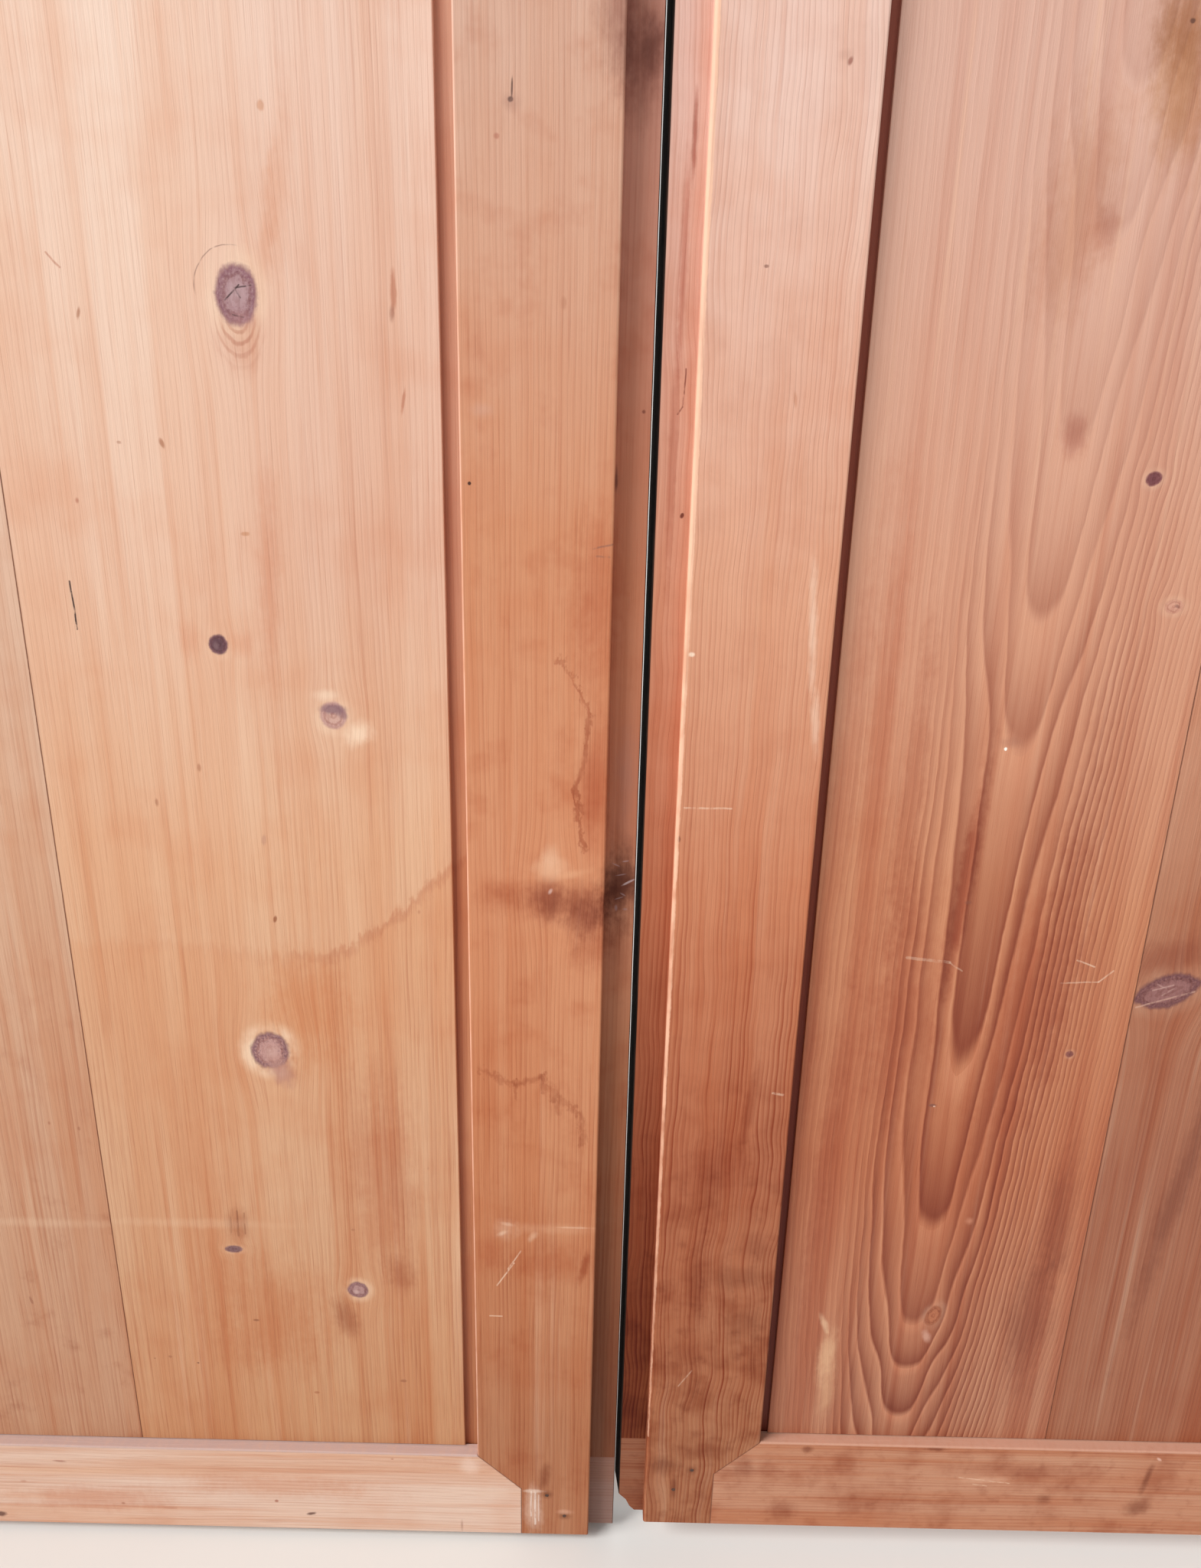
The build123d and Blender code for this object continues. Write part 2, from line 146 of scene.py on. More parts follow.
class Finish:
    """A material under way, with places on the piece in millimetres."""

    def __init__(self, name, tree=None):
        if tree is None:
            self.material = bpy.data.materials.new(name)
            self.material.use_nodes = True
            tree = self.material.node_tree
            tree.nodes.clear()
        self.tree = tree

    def add(self, kind, **settings):
        node = self.tree.nodes.new(kind)
        for name, value in settings.items():
            setattr(node, name, value)
        return node

    def feed(self, entry, value):
        if isinstance(value, Measure):
            value = value.socket
        if isinstance(value, bpy.types.NodeSocket):
            self.tree.links.new(value, entry)
        else:
            entry.default_value = value

    def number(self, operation, *values):
        node = self.add("ShaderNodeMath", operation=operation)
        for entry, value in zip(node.inputs, values):
            self.feed(entry, value)
        return Measure(self, node.outputs[0])

    def vector(self, operation, *values):
        node = self.add("ShaderNodeVectorMath", operation=operation)
        for entry, value in zip(node.inputs, values):
            self.feed(entry, value)
        return node

    def joined(self, x, y, z):
        node = self.add("ShaderNodeCombineXYZ")
        for entry, value in zip(node.inputs, (x, y, z)):
            self.feed(entry, value)
        return node.outputs[0]

    def parted(self, vector):
        node = self.add("ShaderNodeSeparateXYZ")
        self.feed(node.inputs[0], vector)
        return [Measure(self, socket) for socket in node.outputs]

    def places(self):
        """Across, depth and height on the piece, in millimetres."""
        where = self.add("ShaderNodeTexCoord").outputs["Object"]
        self.x, self.y, self.z = [part / MM for part in self.parted(where)]
        self.on_face = self.joined(self.x, self.z, 0.0)
        return self.x, self.y, self.z

    def noise(self, x, y, z, detail=2.0, rough=0.5):
        node = self.add("ShaderNodeTexNoise")
        self.feed(node.inputs["Vector"], self.joined(x, y, z))
        node.inputs["Scale"].default_value = 1.0
        node.inputs["Detail"].default_value = detail
        node.inputs["Roughness"].default_value = rough
        return Measure(self, node.outputs[0])

    def chance(self, value):
        """A fixed random number, 0 to 1, for each whole value."""
        node = self.add("ShaderNodeTexWhiteNoise", noise_dimensions="1D")
        self.feed(node.inputs["W"], value)
        return Measure(self, node.outputs[0])

    def blend(self, amount, under, over, way="MIX"):
        node = self.add("ShaderNodeMix", data_type="RGBA", blend_type=way)
        self.feed(node.inputs[0], amount)
        self.feed(node.inputs[6], under)
        self.feed(node.inputs[7], over)
        return node.outputs[2]

    def tint(self, under, amount, colour):
        return self.blend(amount, under, colour, "MULTIPLY")

    def steps(self, value, stops):
        """Colours along a number from 0 to 1."""
        node = self.add("ShaderNodeValToRGB")
        ramp = node.color_ramp
        while len(ramp.elements) < len(stops):
            ramp.elements.new(0.5)
        for element, (place, colour) in zip(ramp.elements, stops):
            element.position = place
            element.color = colour
        self.feed(node.inputs[0], value)
        return node.outputs[0]

    def stroke(self, start, end, half_width, softness=0.5, where=None, amount=1.0):
        """How much of a straight scratch lies at a place, from 0 to the amount."""
        node = self.add("ShaderNodeGroup", node_tree=stroke_tree())
        for name, value in (("Place", where or self.on_face), ("Start", (*start, 0.0)), ("End", (*end, 0.0)),
                            ("Half Width", half_width), ("Softness", softness), ("Amount", amount)):
            self.feed(node.inputs[name], value)
        return Measure(self, node.outputs[0])

    def reach(self, centre, wide, high, lean=0.0):
        """Distance from the centre of an oval, 1 at its edge; only a leaning one needs a turn."""
        if lean:
            node = self.add("ShaderNodeGroup", node_tree=oval_tree())
            for name, value in (("Place", self.on_face), ("Centre", (*centre, 0.0)), ("Wide", wide),
                                ("High", high), ("Lean", math.radians(lean))):
                self.feed(node.inputs[name], value)
            return Measure(self, node.outputs[0])
        shares = (1.0 / wide, 1.0 / high, 0.0)
        shift = (-centre[0] / wide, -centre[1] / high, 0.0)
        away = self.vector("MULTIPLY_ADD", self.on_face, shares, shift).outputs[0]
        return Measure(self, self.vector("LENGTH", away).outputs["Value"])

    def close(self, colour, rough, specular=0.35, height=None, depth=0.0003, metallic=0.0):
        """Ends the material, with one colour or one for each height zone."""
        if height is not None:
            bump = self.add("ShaderNodeBump")
            bump.inputs["Strength"].default_value = 1.0
            bump.inputs["Distance"].default_value = depth
            self.feed(bump.inputs["Height"], height)
        whole = None
        for bottom, shade in zip(ZONE_LIMITS, colour if isinstance(colour, list) else [colour]):
            surface = self.add("ShaderNodeBsdfPrincipled")
            self.feed(surface.inputs["Base Color"], shade)
            self.feed(surface.inputs["Roughness"], rough)
            self.feed(surface.inputs["Metallic"], metallic)
            surface.inputs["Specular IOR Level"].default_value = specular
            if height is not None:
                self.feed(surface.inputs["Normal"], bump.outputs[0])
            if whole is None:
                whole = surface.outputs[0]
                continue
            join = self.add("ShaderNodeMixShader")
            self.feed(join.inputs[0], self.number("GREATER_THAN", self.z, bottom))
            self.feed(join.inputs[1], whole)
            self.feed(join.inputs[2], surface.outputs[0])
            whole = join.outputs[0]
        out = self.add("ShaderNodeOutputMaterial")
        self.feed(out.inputs["Surface"], whole)
        return self.material


def new_tree(name, entries, result):
    tree = bpy.data.node_groups.new(name, "ShaderNodeTree")
    for label, kind in entries:
        tree.interface.new_socket(label, in_out="INPUT", socket_type="NodeSocket" + kind)
    tree.interface.new_socket(result, in_out="OUTPUT", socket_type="NodeSocketFloat")
    finish = Finish(name, tree)
    start = finish.add("NodeGroupInput")
    end = finish.add("NodeGroupOutput")
    return tree, finish, start.outputs, end.inputs


def stroke_tree():
    """Shared working for a straight scratch or seam."""
    name = "straight stroke"
    if name in bpy.data.node_groups:
        return bpy.data.node_groups[name]
    tree, f, given, result = new_tree(name, (("Place", "Vector"), ("Start", "Vector"), ("End", "Vector"),
                                             ("Half Width", "Float"), ("Softness", "Float"),
                                             ("Amount", "Float")), "Cover")
    run = f.vector("SUBTRACT", given["End"], given["Start"]).outputs[0]
    away = f.vector("SUBTRACT", given["Place"], given["Start"]).outputs[0]
    along = Measure(f, f.vector("DOT_PRODUCT", away, run).outputs["Value"])
    length = Measure(f, f.vector("DOT_PRODUCT", run, run).outputs["Value"])
    share = (along / length).fade_straight(0.0, 1.0)
    foot = f.add("ShaderNodeVectorMath", operation="SCALE")
    f.feed(foot.inputs[0], run)
    f.feed(foot.inputs["Scale"], share)
    off = f.vector("SUBTRACT", away, foot.outputs[0]).outputs[0]
    gap = Measure(f, f.vector("LENGTH", off).outputs["Value"])
    half = Measure(f, given["Half Width"])
    f.feed(result[0], gap.fade(half, half + Measure(f, given["Softness"]), Measure(f, given["Amount"]), 0.0))
    return tree


def oval_tree():
    """Shared working for an oval mark or knot."""
    name = "leaning oval"
    if name in bpy.data.node_groups:
        return bpy.data.node_groups[name]
    tree, f, given, result = new_tree(name, (("Place", "Vector"), ("Centre", "Vector"), ("Wide", "Float"),
                                             ("High", "Float"), ("Lean", "Float")), "Reach")
    away = f.vector("SUBTRACT", given["Place"], given["Centre"]).outputs[0]
    turn = f.add("ShaderNodeVectorRotate", rotation_type="Z_AXIS")
    f.feed(turn.inputs["Vector"], away)
    f.feed(turn.inputs["Angle"], given["Lean"])
    size = f.joined(Measure(f, given["Wide"]), Measure(f, given["High"]), 1.0)
    scaled = f.vector("DIVIDE", turn.outputs[0], size).outputs[0]
    f.feed(result[0], Measure(f, f.vector("LENGTH", scaled).outputs["Value"]))
    return tree


Knot = namedtuple("Knot", "across up wide high lean heart rim halo swell")
Mark = namedtuple("Mark", "across up wide high colour amount soft lean", defaults=(0.9, 0))
Scratch = namedtuple("Scratch", "start end half_width colour amount")

HEIGHTS = (150.0, 400.0, 650.0, 900.0, 1200.0)
DOOR_TOP = 2000.0
# Marks and knots are worked out only in their own height zones, which keeps the render short.
ZONE_LIMITS = (-math.inf, 300.0, 450.0, 590.0, 720.0, 900.0, math.inf)
RAGGED_REACH = 2.4

GAP_SHADE_DARK = tone(28, 17, 13)
GAP_SHADE_BROWN = tone(56, 36, 28)
BOARD_SEAM = tone(126, 74, 50)
WARM_SHADE = tone(186, 112, 76)
RED_SHADE = tone(176, 96, 62)
ORANGE_SHADE = tone(236, 190, 150)
CREAM = tone(246, 218, 188)
PALE_RUB = tone(244, 214, 188)
CRACK = tone(52, 30, 30)
MAUVE = tone(176, 140, 136)
BROWN_FLECK = tone(168, 108, 78)
PITCH_BROWN = tone(188, 124, 98)


class Pine(Finish):
    """Stripped and sanded pine: rings, fibre, knots, marks and a tone that warms towards the floor; its paler upper
    tones are partly a painted sheen of light.
    """

    def __init__(self, name, grain="up"):
        super().__init__(name)
        self.places()
        self.upright = grain == "up"
        self.along, self.across = (self.z, self.x) if self.upright else (self.x, self.z)
        self.zone = (-math.inf, math.inf)
        self.front = self.y.fade(FIELD_Y + 3.2, FIELD_Y + 4.4, 1.0, 0.0)
        self.lively = self.z.fade(200.0, 1050.0, 1.3, 0.65)
        drift = self.noise(self.x * 0.004 + 3.1, self.y * 0.01, self.z * 0.002, 1.0)
        self.wander = drift - 0.5
        self.coarse = self.noise(self.x * 0.05, self.y * 0.05, self.z * 0.03, 3.0, 0.6) - 0.5
        self.ruffle = self.noise(self.x * 0.2, self.y * 0.1, self.z * 0.12, 3.0, 0.62) - 0.5

    def bulge(self, knots):
        """Lets the grain run round the knots."""
        for k in knots:
            centre = k.across if self.upright else k.up
            near = self.reach((k.across, k.up), k.wide * 1.8, k.high * 2.3)
            push = self.number("EXPONENT", near * near * -1.0) * k.swell
            self.across = self.across - (self.across - centre) * push

    def rings(self, pith, spacing, waver=3.0, uneven=1.6, sharp=1.5, edge=0.25):
        """Counts the growth rings from the pith line at (across, depth)."""
        middle, depth = pith
        fine = (self.noise(self.across * 0.05, self.y * 0.05, self.along * 0.006, 2.0) - 0.5) * uneven
        sideways = self.across + self.wander * waver - middle
        inward = self.y - depth
        distance = self.number("SQRT", sideways * sideways + inward * inward)
        self.count = distance / spacing + fine
        return self.ring_tones(sharp, edge)

    def ring_tones(self, sharp=2.2, edge=0.06):
        """Slow darkening through each ring and a quick step back to pale."""
        share = self.number("FRACT", self.count)
        self.strength = self.chance(self.number("FLOOR", self.count))
        self.share = share
        self.late = (share ** sharp) * share.fade(1.0 - edge, 1.0, 1.0, 0.0)
        self.broken = self.noise(self.across * 0.11, self.y * 0.05, self.along * 0.005, 2.0).fade(0.36, 0.62, 0.2, 1.0)
        return self.late

    def height_tones_and_sheen(self, tones):
        """Wood tone from the floor up: one tone for each of the heights, unevenly blended; the paler upper tones are
        partly the wood's own tone and partly a painted sheen of light on the upper door.
        """
        height = (self.z + (self.wander * 160.0 + self.coarse * 60.0)) / DOOR_TOP
        return self.steps(height, [(up / DOOR_TOP, colour) for up, colour in zip(HEIGHTS, tones)])

    def fibre(self, fine=1.3, length=0.018):
        """Short dark and pale threads along the grain."""
        return self.noise(self.across * fine, self.y * fine, self.along * length, 3.0, 0.62)

    def bands(self, width, seed=0.0, length=0.0016):
        """Soft stripes of tone along the grain, about so many millimetres wide."""
        return self.noise(self.across / width + seed, self.y * 0.02, self.along * length + seed, 2.0, 0.55)

    def blotches(self, size, seed=0.0):
        return self.noise(self.x / size + seed, self.y * 0.02 + seed, self.z / size, 3.0, 0.6)

    def wood(self, tones, seed, ring_amount, ring_colour=WARM_SHADE, stripe=0.4, fine=1.3):
        """Height tones, paler upwards and partly a painted sheen of light, with rings, wide and narrow stripes, pale
        streaks, fibre and soft blotches.
        """
        colour = self.height_tones_and_sheen(tones)
        lines = self.late * (self.strength * 0.7 + 0.4) * self.broken
        colour = self.tint(colour, lines * self.lively * ring_amount, ring_colour)
        colour = self.tint(colour, self.bands(28.0, seed).fade(0.4, 0.7) * self.lively * stripe, ORANGE_SHADE)
        narrow = self.bands(7.0, seed + 5.0, 0.003).fade(0.48, 0.76)
        colour = self.tint(colour, narrow * self.lively * stripe, tone(232, 192, 164))
        streaks = self.bands(11.0, seed + 9.0, 0.0022).fade(0.56, 0.8)
        colour = self.blend(streaks * self.lively * stripe * 0.35, colour, CREAM)
        colour = self.tint(colour, self.fibre(fine).fade(0.48, 0.8) * self.lively * 0.38, tone(204, 152, 124))
        return self.tint(colour, self.blotches(80.0, seed).fade(0.45, 0.75) * 0.3, tone(240, 204, 180))

    def flecks(self, colour, seed=0.0, share=0.9, size=24.0, amount=0.55):
        """Small brown dashes strewn over the face."""
        node = self.add("ShaderNodeTexVoronoi")
        place = self.joined(self.across / size + seed, self.y * 0.0 + seed, self.along / (size * 1.6))
        self.feed(node.inputs["Vector"], place)
        node.inputs["Scale"].default_value = 1.0
        rare = self.parted(node.outputs["Color"])[0].fade(share, share + 0.04)
        small = Measure(self, node.outputs["Distance"]).fade(0.02, 0.075, 1.0, 0.0)
        return self.tint(colour, rare * small * amount, RED_SHADE)

    def knot_reach(self, k, pointed):
        """Distance from a knot's middle, 1 at its edge; a pointed one is where two wide ovals cross."""
        if not pointed:
            return self.reach((k.across, k.up), k.wide, k.high, k.lean)
        lean = math.radians(k.lean)
        side, rise = math.sin(lean) * k.high, math.cos(lean) * k.high
        first = self.reach((k.across + side, k.up + rise), k.wide * 1.16, k.high * 2.0, k.lean)
        second = self.reach((k.across - side, k.up - rise), k.wide * 1.16, k.high * 2.0, k.lean)
        return (self.number("MAXIMUM", first, second) - 0.5) * 2.0

    def in_zone(self, ovals):
        """The ovals whose ragged edges reach into the zone that is being drawn."""
        bottom, top = self.zone
        kept = []
        for oval in ovals:
            lean = math.radians(oval.lean)
            rise = RAGGED_REACH * math.hypot(oval.high * math.cos(lean), oval.wide * math.sin(lean))
            if bottom - rise < oval.up < top + rise:
                kept.append(oval)
        return kept

    def passes(self, places, room=10.0):
        """Whether a line through these places comes into the zone that is being drawn."""
        bottom, top = self.zone
        heights = [up for _, up in places]
        return min(heights) - room < top and max(heights) + room > bottom

    def by_zone(self, colour, draw, *more):
        """One colour for each height zone, with only the marks that lie near it."""
        shades = []
        for self.zone in zip(ZONE_LIMITS, ZONE_LIMITS[1:]):
            shades.append(draw(self, colour, *more))
        return shades

    def draw_knots(self, colour, knots, pointed=False):
        """Dark hearts with a paler, broken ring of grain round them."""
        patchy = (self.coarse * 2.6 + 0.55).fade(0.0, 1.0)
        for k in self.in_zone(knots):
            reach = self.knot_reach(k, pointed) + self.ruffle * 0.26 + self.coarse * 0.3
            near = reach.fade(1.0, 1.9, 1.0, 0.0)
            colour = self.blend(near * patchy * k.halo, colour, CREAM)
            arcs = self.number("SINE", reach * 12.0 + self.ruffle * 5.0).fade(0.2, 1.0)
            colour = self.tint(colour, near * near * arcs * patchy * k.halo * 0.14, WARM_SHADE)
            speckled = (self.noise(self.x * 0.55, 0.0, self.z * 0.5, 3.0, 0.65) - 0.5) * 1.5
            heart = self.blend((reach + speckled).fade(0.35, 1.1), k.heart, k.rim)
            heart = self.tint(heart, arcs * 0.35 + self.fibre(0.9, 0.2).fade(0.45, 0.7) * 0.3, tone(186, 138, 128))
            colour = self.blend((reach + speckled * 0.12).fade(0.84, 1.12, 1.0, 0.0), colour, heart)
        return colour

    def shape_of(self, m):
        """How much of an oval with a ragged edge lies at a place."""
        ragged = self.ruffle * 0.9 + self.coarse * (m.soft * 1.3)
        reach = self.reach((m.across, m.up), m.wide, m.high, m.lean) + ragged
        return reach.fade(1.0 - m.soft, 1.0 + m.soft * 0.6, m.amount, 0.0)

    def draw_marks(self, colour, marks):
        """Dents, rubs and small dark spots that cover the grain."""
        marked = colour
        for m in self.in_zone(marks):
            marked = self.blend(self.shape_of(m), marked, m.colour)
        return colour if marked is colour else self.blend(self.front, colour, marked)

    def draw_stains(self, colour, marks):
        """Stains that the grain shows through."""
        stained = colour
        for m in self.in_zone(marks):
            stained = self.tint(stained, self.shape_of(m), m.colour)
        return colour if stained is colour else self.blend(self.front, colour, stained)

    def draw_scratches(self, colour, scratches):
        bend = self.coarse * 2.6
        where = self.joined(self.x + bend, self.z + bend, 0.0)
        scratched = colour
        for s in scratches:
            if self.passes((s.start, s.end)):
                line = self.stroke(s.start, s.end, s.half_width, 0.6, where, s.amount)
                scratched = self.blend(line, scratched, s.colour)
        if scratched is colour:
            return colour
        return self.blend(self.ruffle.fade(-0.22, 0.04) * self.front, colour, scratched)

    def contour(self, colour, points, amount, shade, half_width=0.5, softness=1.6):
        """A ragged line through several points, such as the edge of an old stain."""
        if not self.passes(points, 24.0):
            return colour
        where = self.joined(self.x + self.ruffle * 12.0 + self.coarse * 9.0, self.z + self.ruffle * 18.0, 0.0)
        total = None
        for start, end in zip(points, points[1:]):
            line = self.stroke(start, end, half_width, softness, where)
            total = line if total is None else self.number("MAXIMUM", total, line)
        return self.tint(colour, total * self.coarse.fade(-0.2, 0.15, 0.35, 1.0) * self.front * amount, shade)

    def seam(self, colour, start, end, amount=0.8, half_width=0.2, shade=BOARD_SEAM):
        where = self.joined(self.x + self.ruffle * 0.5, self.z, 0.0)
        line = self.stroke(start, end, half_width, 0.6, where)
        return self.blend(line * self.front * self.ruffle.fade(-0.3, 0.0, 0.55, 1.0) * amount, colour, shade)

    def worn_arris_highlight(self, colour, across, low, high, amount, shade, half_width=0.7, softness=1.0):
        """A pale edge between two heights: partly rubbed wear, partly a painted highlight where light catches the
        arris.
        """
        line = self.stroke((across, low), (across, high), half_width, softness)
        return self.blend(line * self.coarse.fade(-0.2, 0.12, 0.45, 1.0) * amount, colour, shade)

    def painted_gap_shade(self, colour, amount):
        """Painted shade on the edges where the leaves meet: dark brown patches that stand in for the shade of the
        narrow gap.
        """
        patches = self.noise(self.x * 0.05, self.y * 0.12, self.z * 0.02, 3.0, 0.6).fade(0.38, 0.64)
        return self.blend(amount, colour, self.blend(patches, GAP_SHADE_DARK, GAP_SHADE_BROWN))

    def timber(self, colour, ring_height=0.25, specular=0.3, rough=None):
        """Closes the material with a fine relief of rings and fibre."""
        height = self.late * ring_height + self.fibre() * 0.5
        if rough is None:
            rough = self.fibre(0.7).fade_straight(0.3, 0.8, 0.5, 0.64)
        return self.close(colour, rough, specular, height)


def left_inner_board():
    f = Pine("left inner board pine")
    x, z = f.x, f.z
    knots = (
        Knot(-262.3, 1058.5, 13.6, 18.4, 6, tone(176, 140, 142), tone(134, 86, 96), 0.35, 0.5),
        Knot(-293.3, 835, 6.4, 7, 0, tone(98, 66, 74), tone(124, 84, 90), 0.3, 0.5),
        Knot(-217.5, 786, 9.4, 10, 0, tone(206, 164, 150), tone(190, 146, 138), 0.4, 0.5),
        Knot(-282, 511.5, 15, 16.2, 24, tone(190, 146, 138), tone(118, 78, 86), 0.8, 0.55),
        Knot(-326.2, 317.2, 7.4, 3.6, 0, tone(126, 92, 94), tone(150, 110, 104), 0.4, 0.4),
        Knot(-224.3, 277, 9, 8.4, 20, tone(172, 134, 130), tone(128, 86, 90), 0.35, 0.5),
    )
    f.bulge(knots)
    f.rings((-560.0, 30.0), 3.6, waver=9.0)
    near_stile = x.fade(-300.0, -180.0, 0.3, 1.0) + x.fade(-430.0, -340.0, 0.35, 0.0)
    colour = f.wood((tone(198, 147, 108), tone(212, 166, 131), tone(223, 176, 141), tone(230, 191, 166),
                     tone(239, 210, 191)), 2.0, near_stile * 0.48, stripe=0.36)
    colour = f.tint(colour, x.fade(-330.0, -200.0) * z.fade(700.0, 950.0), tone(248, 240, 239))
    # Water stain: a ragged edge near the stile that fades out to the left.
    edge = x.curve((-430.0, -120.0), ((-430.0, 604.0), (-340.0, 604.0), (-277.0, 598.0), (-224.0, 600.0),
                                      (-207.0, 611.0), (-186.0, 628.0), (-162.0, 650.0), (-120.0, 690.0)))
    crisp = x.fade(-320.0, -205.0, 0.2, 1.0) * x.fade(-420.0, -350.0)
    ragged = (f.noise(x * 0.13, 0.0, z * 0.02, 4.0, 0.7) - 0.5) * 34.0 + f.ruffle * 14.0
    below = edge + ragged - z
    soaked = below.fade(-6.0, 10.0) * below.fade(50.0, 260.0, 1.0, 0.0)
    colour = f.tint(colour, soaked * x.fade(-330.0, -190.0, 0.6, 1.0) * f.front * 0.32, tone(240, 200, 160))
    tide = below.fade(-3.6, 2.4) * below.fade(2.4, 12.0, 1.0, 0.0)
    colour = f.tint(colour, tide * crisp * f.coarse.fade(-0.2, 0.1, 0.3, 1.0) * f.front * 0.3, tone(200, 128, 90))
    return f.timber(f.by_zone(colour, left_inner_details, knots))


def left_inner_details(f, colour, knots):
    x, z = f.x, f.z
    colour = f.draw_stains(colour, (
        Mark(-250, 545, 34, 46, tone(240, 196, 152), 0.5),
        Mark(-262.5, 1036, 14, 20, tone(222, 182, 166), 0.5),
        Mark(-276.5, 499, 10, 18, tone(196, 150, 144), 0.8, 0.9, -20),
        Mark(-235, 246, 9, 22, tone(196, 156, 140), 0.6, 0.9, -16),
        Mark(-188.3, 296, 12, 20, tone(208, 162, 140), 0.6),
        Mark(-198, 400, 26, 90, tone(224, 186, 172), 0.5),
        Mark(-320, 342, 9, 16, tone(200, 156, 130), 0.5, 0.8),
        Mark(-300, 250, 50, 60, tone(232, 186, 150), 0.5),
        Mark(-314, 837, 8, 12, tone(240, 204, 188), 0.35),
        Mark(-276, 836, 8, 9, tone(240, 204, 188), 0.35),
        Mark(-256, 880, 8, 70, tone(234, 190, 166), 0.4, 0.9, 3),
        Mark(-242, 1090, 6, 40, tone(234, 190, 158), 0.35, 0.9, 10),
        Mark(-232, 1120, 7, 50, tone(238, 200, 172), 0.35, 0.9, 6),
    ))
    colour = f.draw_knots(colour, knots)
    colour = f.flecks(colour, 1.7, 0.92)
    colour = f.draw_marks(colour, (
        Mark(-217, 790.8, 9, 3.4, tone(132, 98, 106), 0.8, 0.6),
        Mark(-211, 787, 4, 3, tone(140, 104, 108), 0.6, 0.7, 30),
        Mark(-200, 773, 11, 8, tone(250, 224, 196), 0.6, 0.9, -35),
        Mark(-222, 801, 8, 4, tone(250, 226, 200), 0.4),
        Mark(-295, 834, 1.8, 2.4, tone(140, 108, 110), 0.5, 0.8),
        Mark(-281, 510, 5, 4.4, tone(206, 168, 158), 0.5, 0.8),
        Mark(-275.5, 494, 8, 16, tone(190, 142, 128), 0.6, 0.9, -22),
        Mark(-226, 275, 2.4, 2.6, tone(206, 174, 166), 0.5, 0.7),
        Mark(-262.5, 1060, 6, 6, tone(188, 158, 160), 0.5, 0.9, 20),
        Mark(-261, 1044.5, 8, 5, tone(176, 128, 126), 0.5),
        Mark(-165.2, 1062, 2.2, 14, PITCH_BROWN, 0.8, 0.5, 2),
        Mark(-166.4, 1050, 1.8, 5, tone(150, 96, 78), 0.5, 0.6, 2),
        Mark(-161, 998, 1.1, 8.5, PITCH_BROWN, 0.8, 0.5, 10),
        Mark(-318, 968, 1.5, 3.4, BROWN_FLECK, 0.75, 0.5, -20),
        Mark(-346, 968, 1.8, 1.2, BROWN_FLECK, 0.5, 0.5, 10),
        Mark(-362, 1046, 1.2, 4, BROWN_FLECK, 0.7, 0.5, 14),
        Mark(-239.5, 1163, 2.2, 3, tone(206, 150, 118), 0.7, 0.5),
        Mark(-269.5, 626, 1.4, 3, tone(150, 88, 56), 0.85, 0.5, 16),
        Mark(-273, 690, 1.8, 4.2, tone(190, 140, 116), 0.6, 0.6, 8),
        Mark(-315, 745, 1.6, 3.2, BROWN_FLECK, 0.6, 0.5),
        Mark(-269, 911, 3.2, 1.5, tone(196, 136, 100), 0.7, 0.5),
        Mark(-348, 718, 1.3, 3.2, BROWN_FLECK, 0.6, 0.5),
        Mark(-313.2, 241.6, 2.8, 1.2, tone(140, 84, 56), 0.8, 0.5),
        Mark(-367.6, 192.2, 1.3, 1.1, tone(110, 70, 54), 0.8, 0.5),
        Mark(-189.4, 177.1, 3, 1.6, tone(150, 90, 62), 0.7, 0.6),
        Mark(-265.9, 161.4, 2.4, 1.3, tone(166, 100, 66), 0.7, 0.5),
        Mark(-391.2, 198.6, 1.7, 1.3, tone(160, 102, 72), 0.7, 0.5),
        Mark(-405, 196.2, 1.2, 1.1, tone(160, 102, 72), 0.7, 0.5),
        Mark(-225.5, 339.9, 1.6, 1.2, tone(166, 106, 76), 0.6, 0.5),
        Mark(-356, 343, 74, 4.5, CREAM, 0.12),
    ))
    dash = tone(136, 86, 60)
    colour = f.draw_scratches(colour, (
        Scratch((-389.8, 876.5), (-388.9, 843.7), 0.32, CRACK, 0.95),
        Scratch((-378, 1080), (-370, 1072), 0.3, tone(190, 130, 106), 0.7),
        Scratch((-269.8, 1055.3), (-260.6, 1064.1), 0.16, CRACK, 0.85),
        Scratch((-263.4, 1062.3), (-253.2, 1064.2), 0.14, CRACK, 0.8),
        Scratch((-263.4, 1062.3), (-260.1, 1056.7), 0.12, CRACK, 0.6),
        Scratch((-265.5, 1047), (-259, 1045.5), 0.1, CRACK, 0.6),
        Scratch((-320.7, 356), (-321.3, 331), 0.5, dash, 0.5),
        Scratch((-315, 354), (-315.6, 333), 0.4, dash, 0.45),
        Scratch((-326.5, 350), (-327, 334), 0.4, dash, 0.4),
    ))
    if f.passes(((-263.0, 1010.0), (-263.0, 1090.0))):
        # A dark thin arc of grain stands off the upper left of the largest knot.
        arc = f.reach((-264.0, 1062.0), 24.5, 25.0) + f.coarse * 0.1
        line = arc.fade(0.975, 1.0) * arc.fade(1.0, 1.025, 1.0, 0.0)
        line = line * x.fade(-266.0, -258.0, 1.0, 0.0) * z.fade(1056.0, 1064.0)
        colour = f.blend(line * f.front * f.ruffle.fade(-0.25, 0.05) * 0.6, colour, tone(120, 84, 78))
        # Faint rings of grain run out below it.
        tail = f.reach((-263.0, 1051.0), 13.5, 26.0) + f.coarse * 0.2 + f.ruffle * 0.12
        trail = f.number("SINE", tail * 24.0).fade(-0.2, 1.0) * tail.fade(0.75, 1.6, 1.0, 0.0)
        colour = f.tint(colour, trail * z.fade(1034.0, 1048.0, 1.0, 0.0) * f.front * 0.5, tone(204, 156, 142))
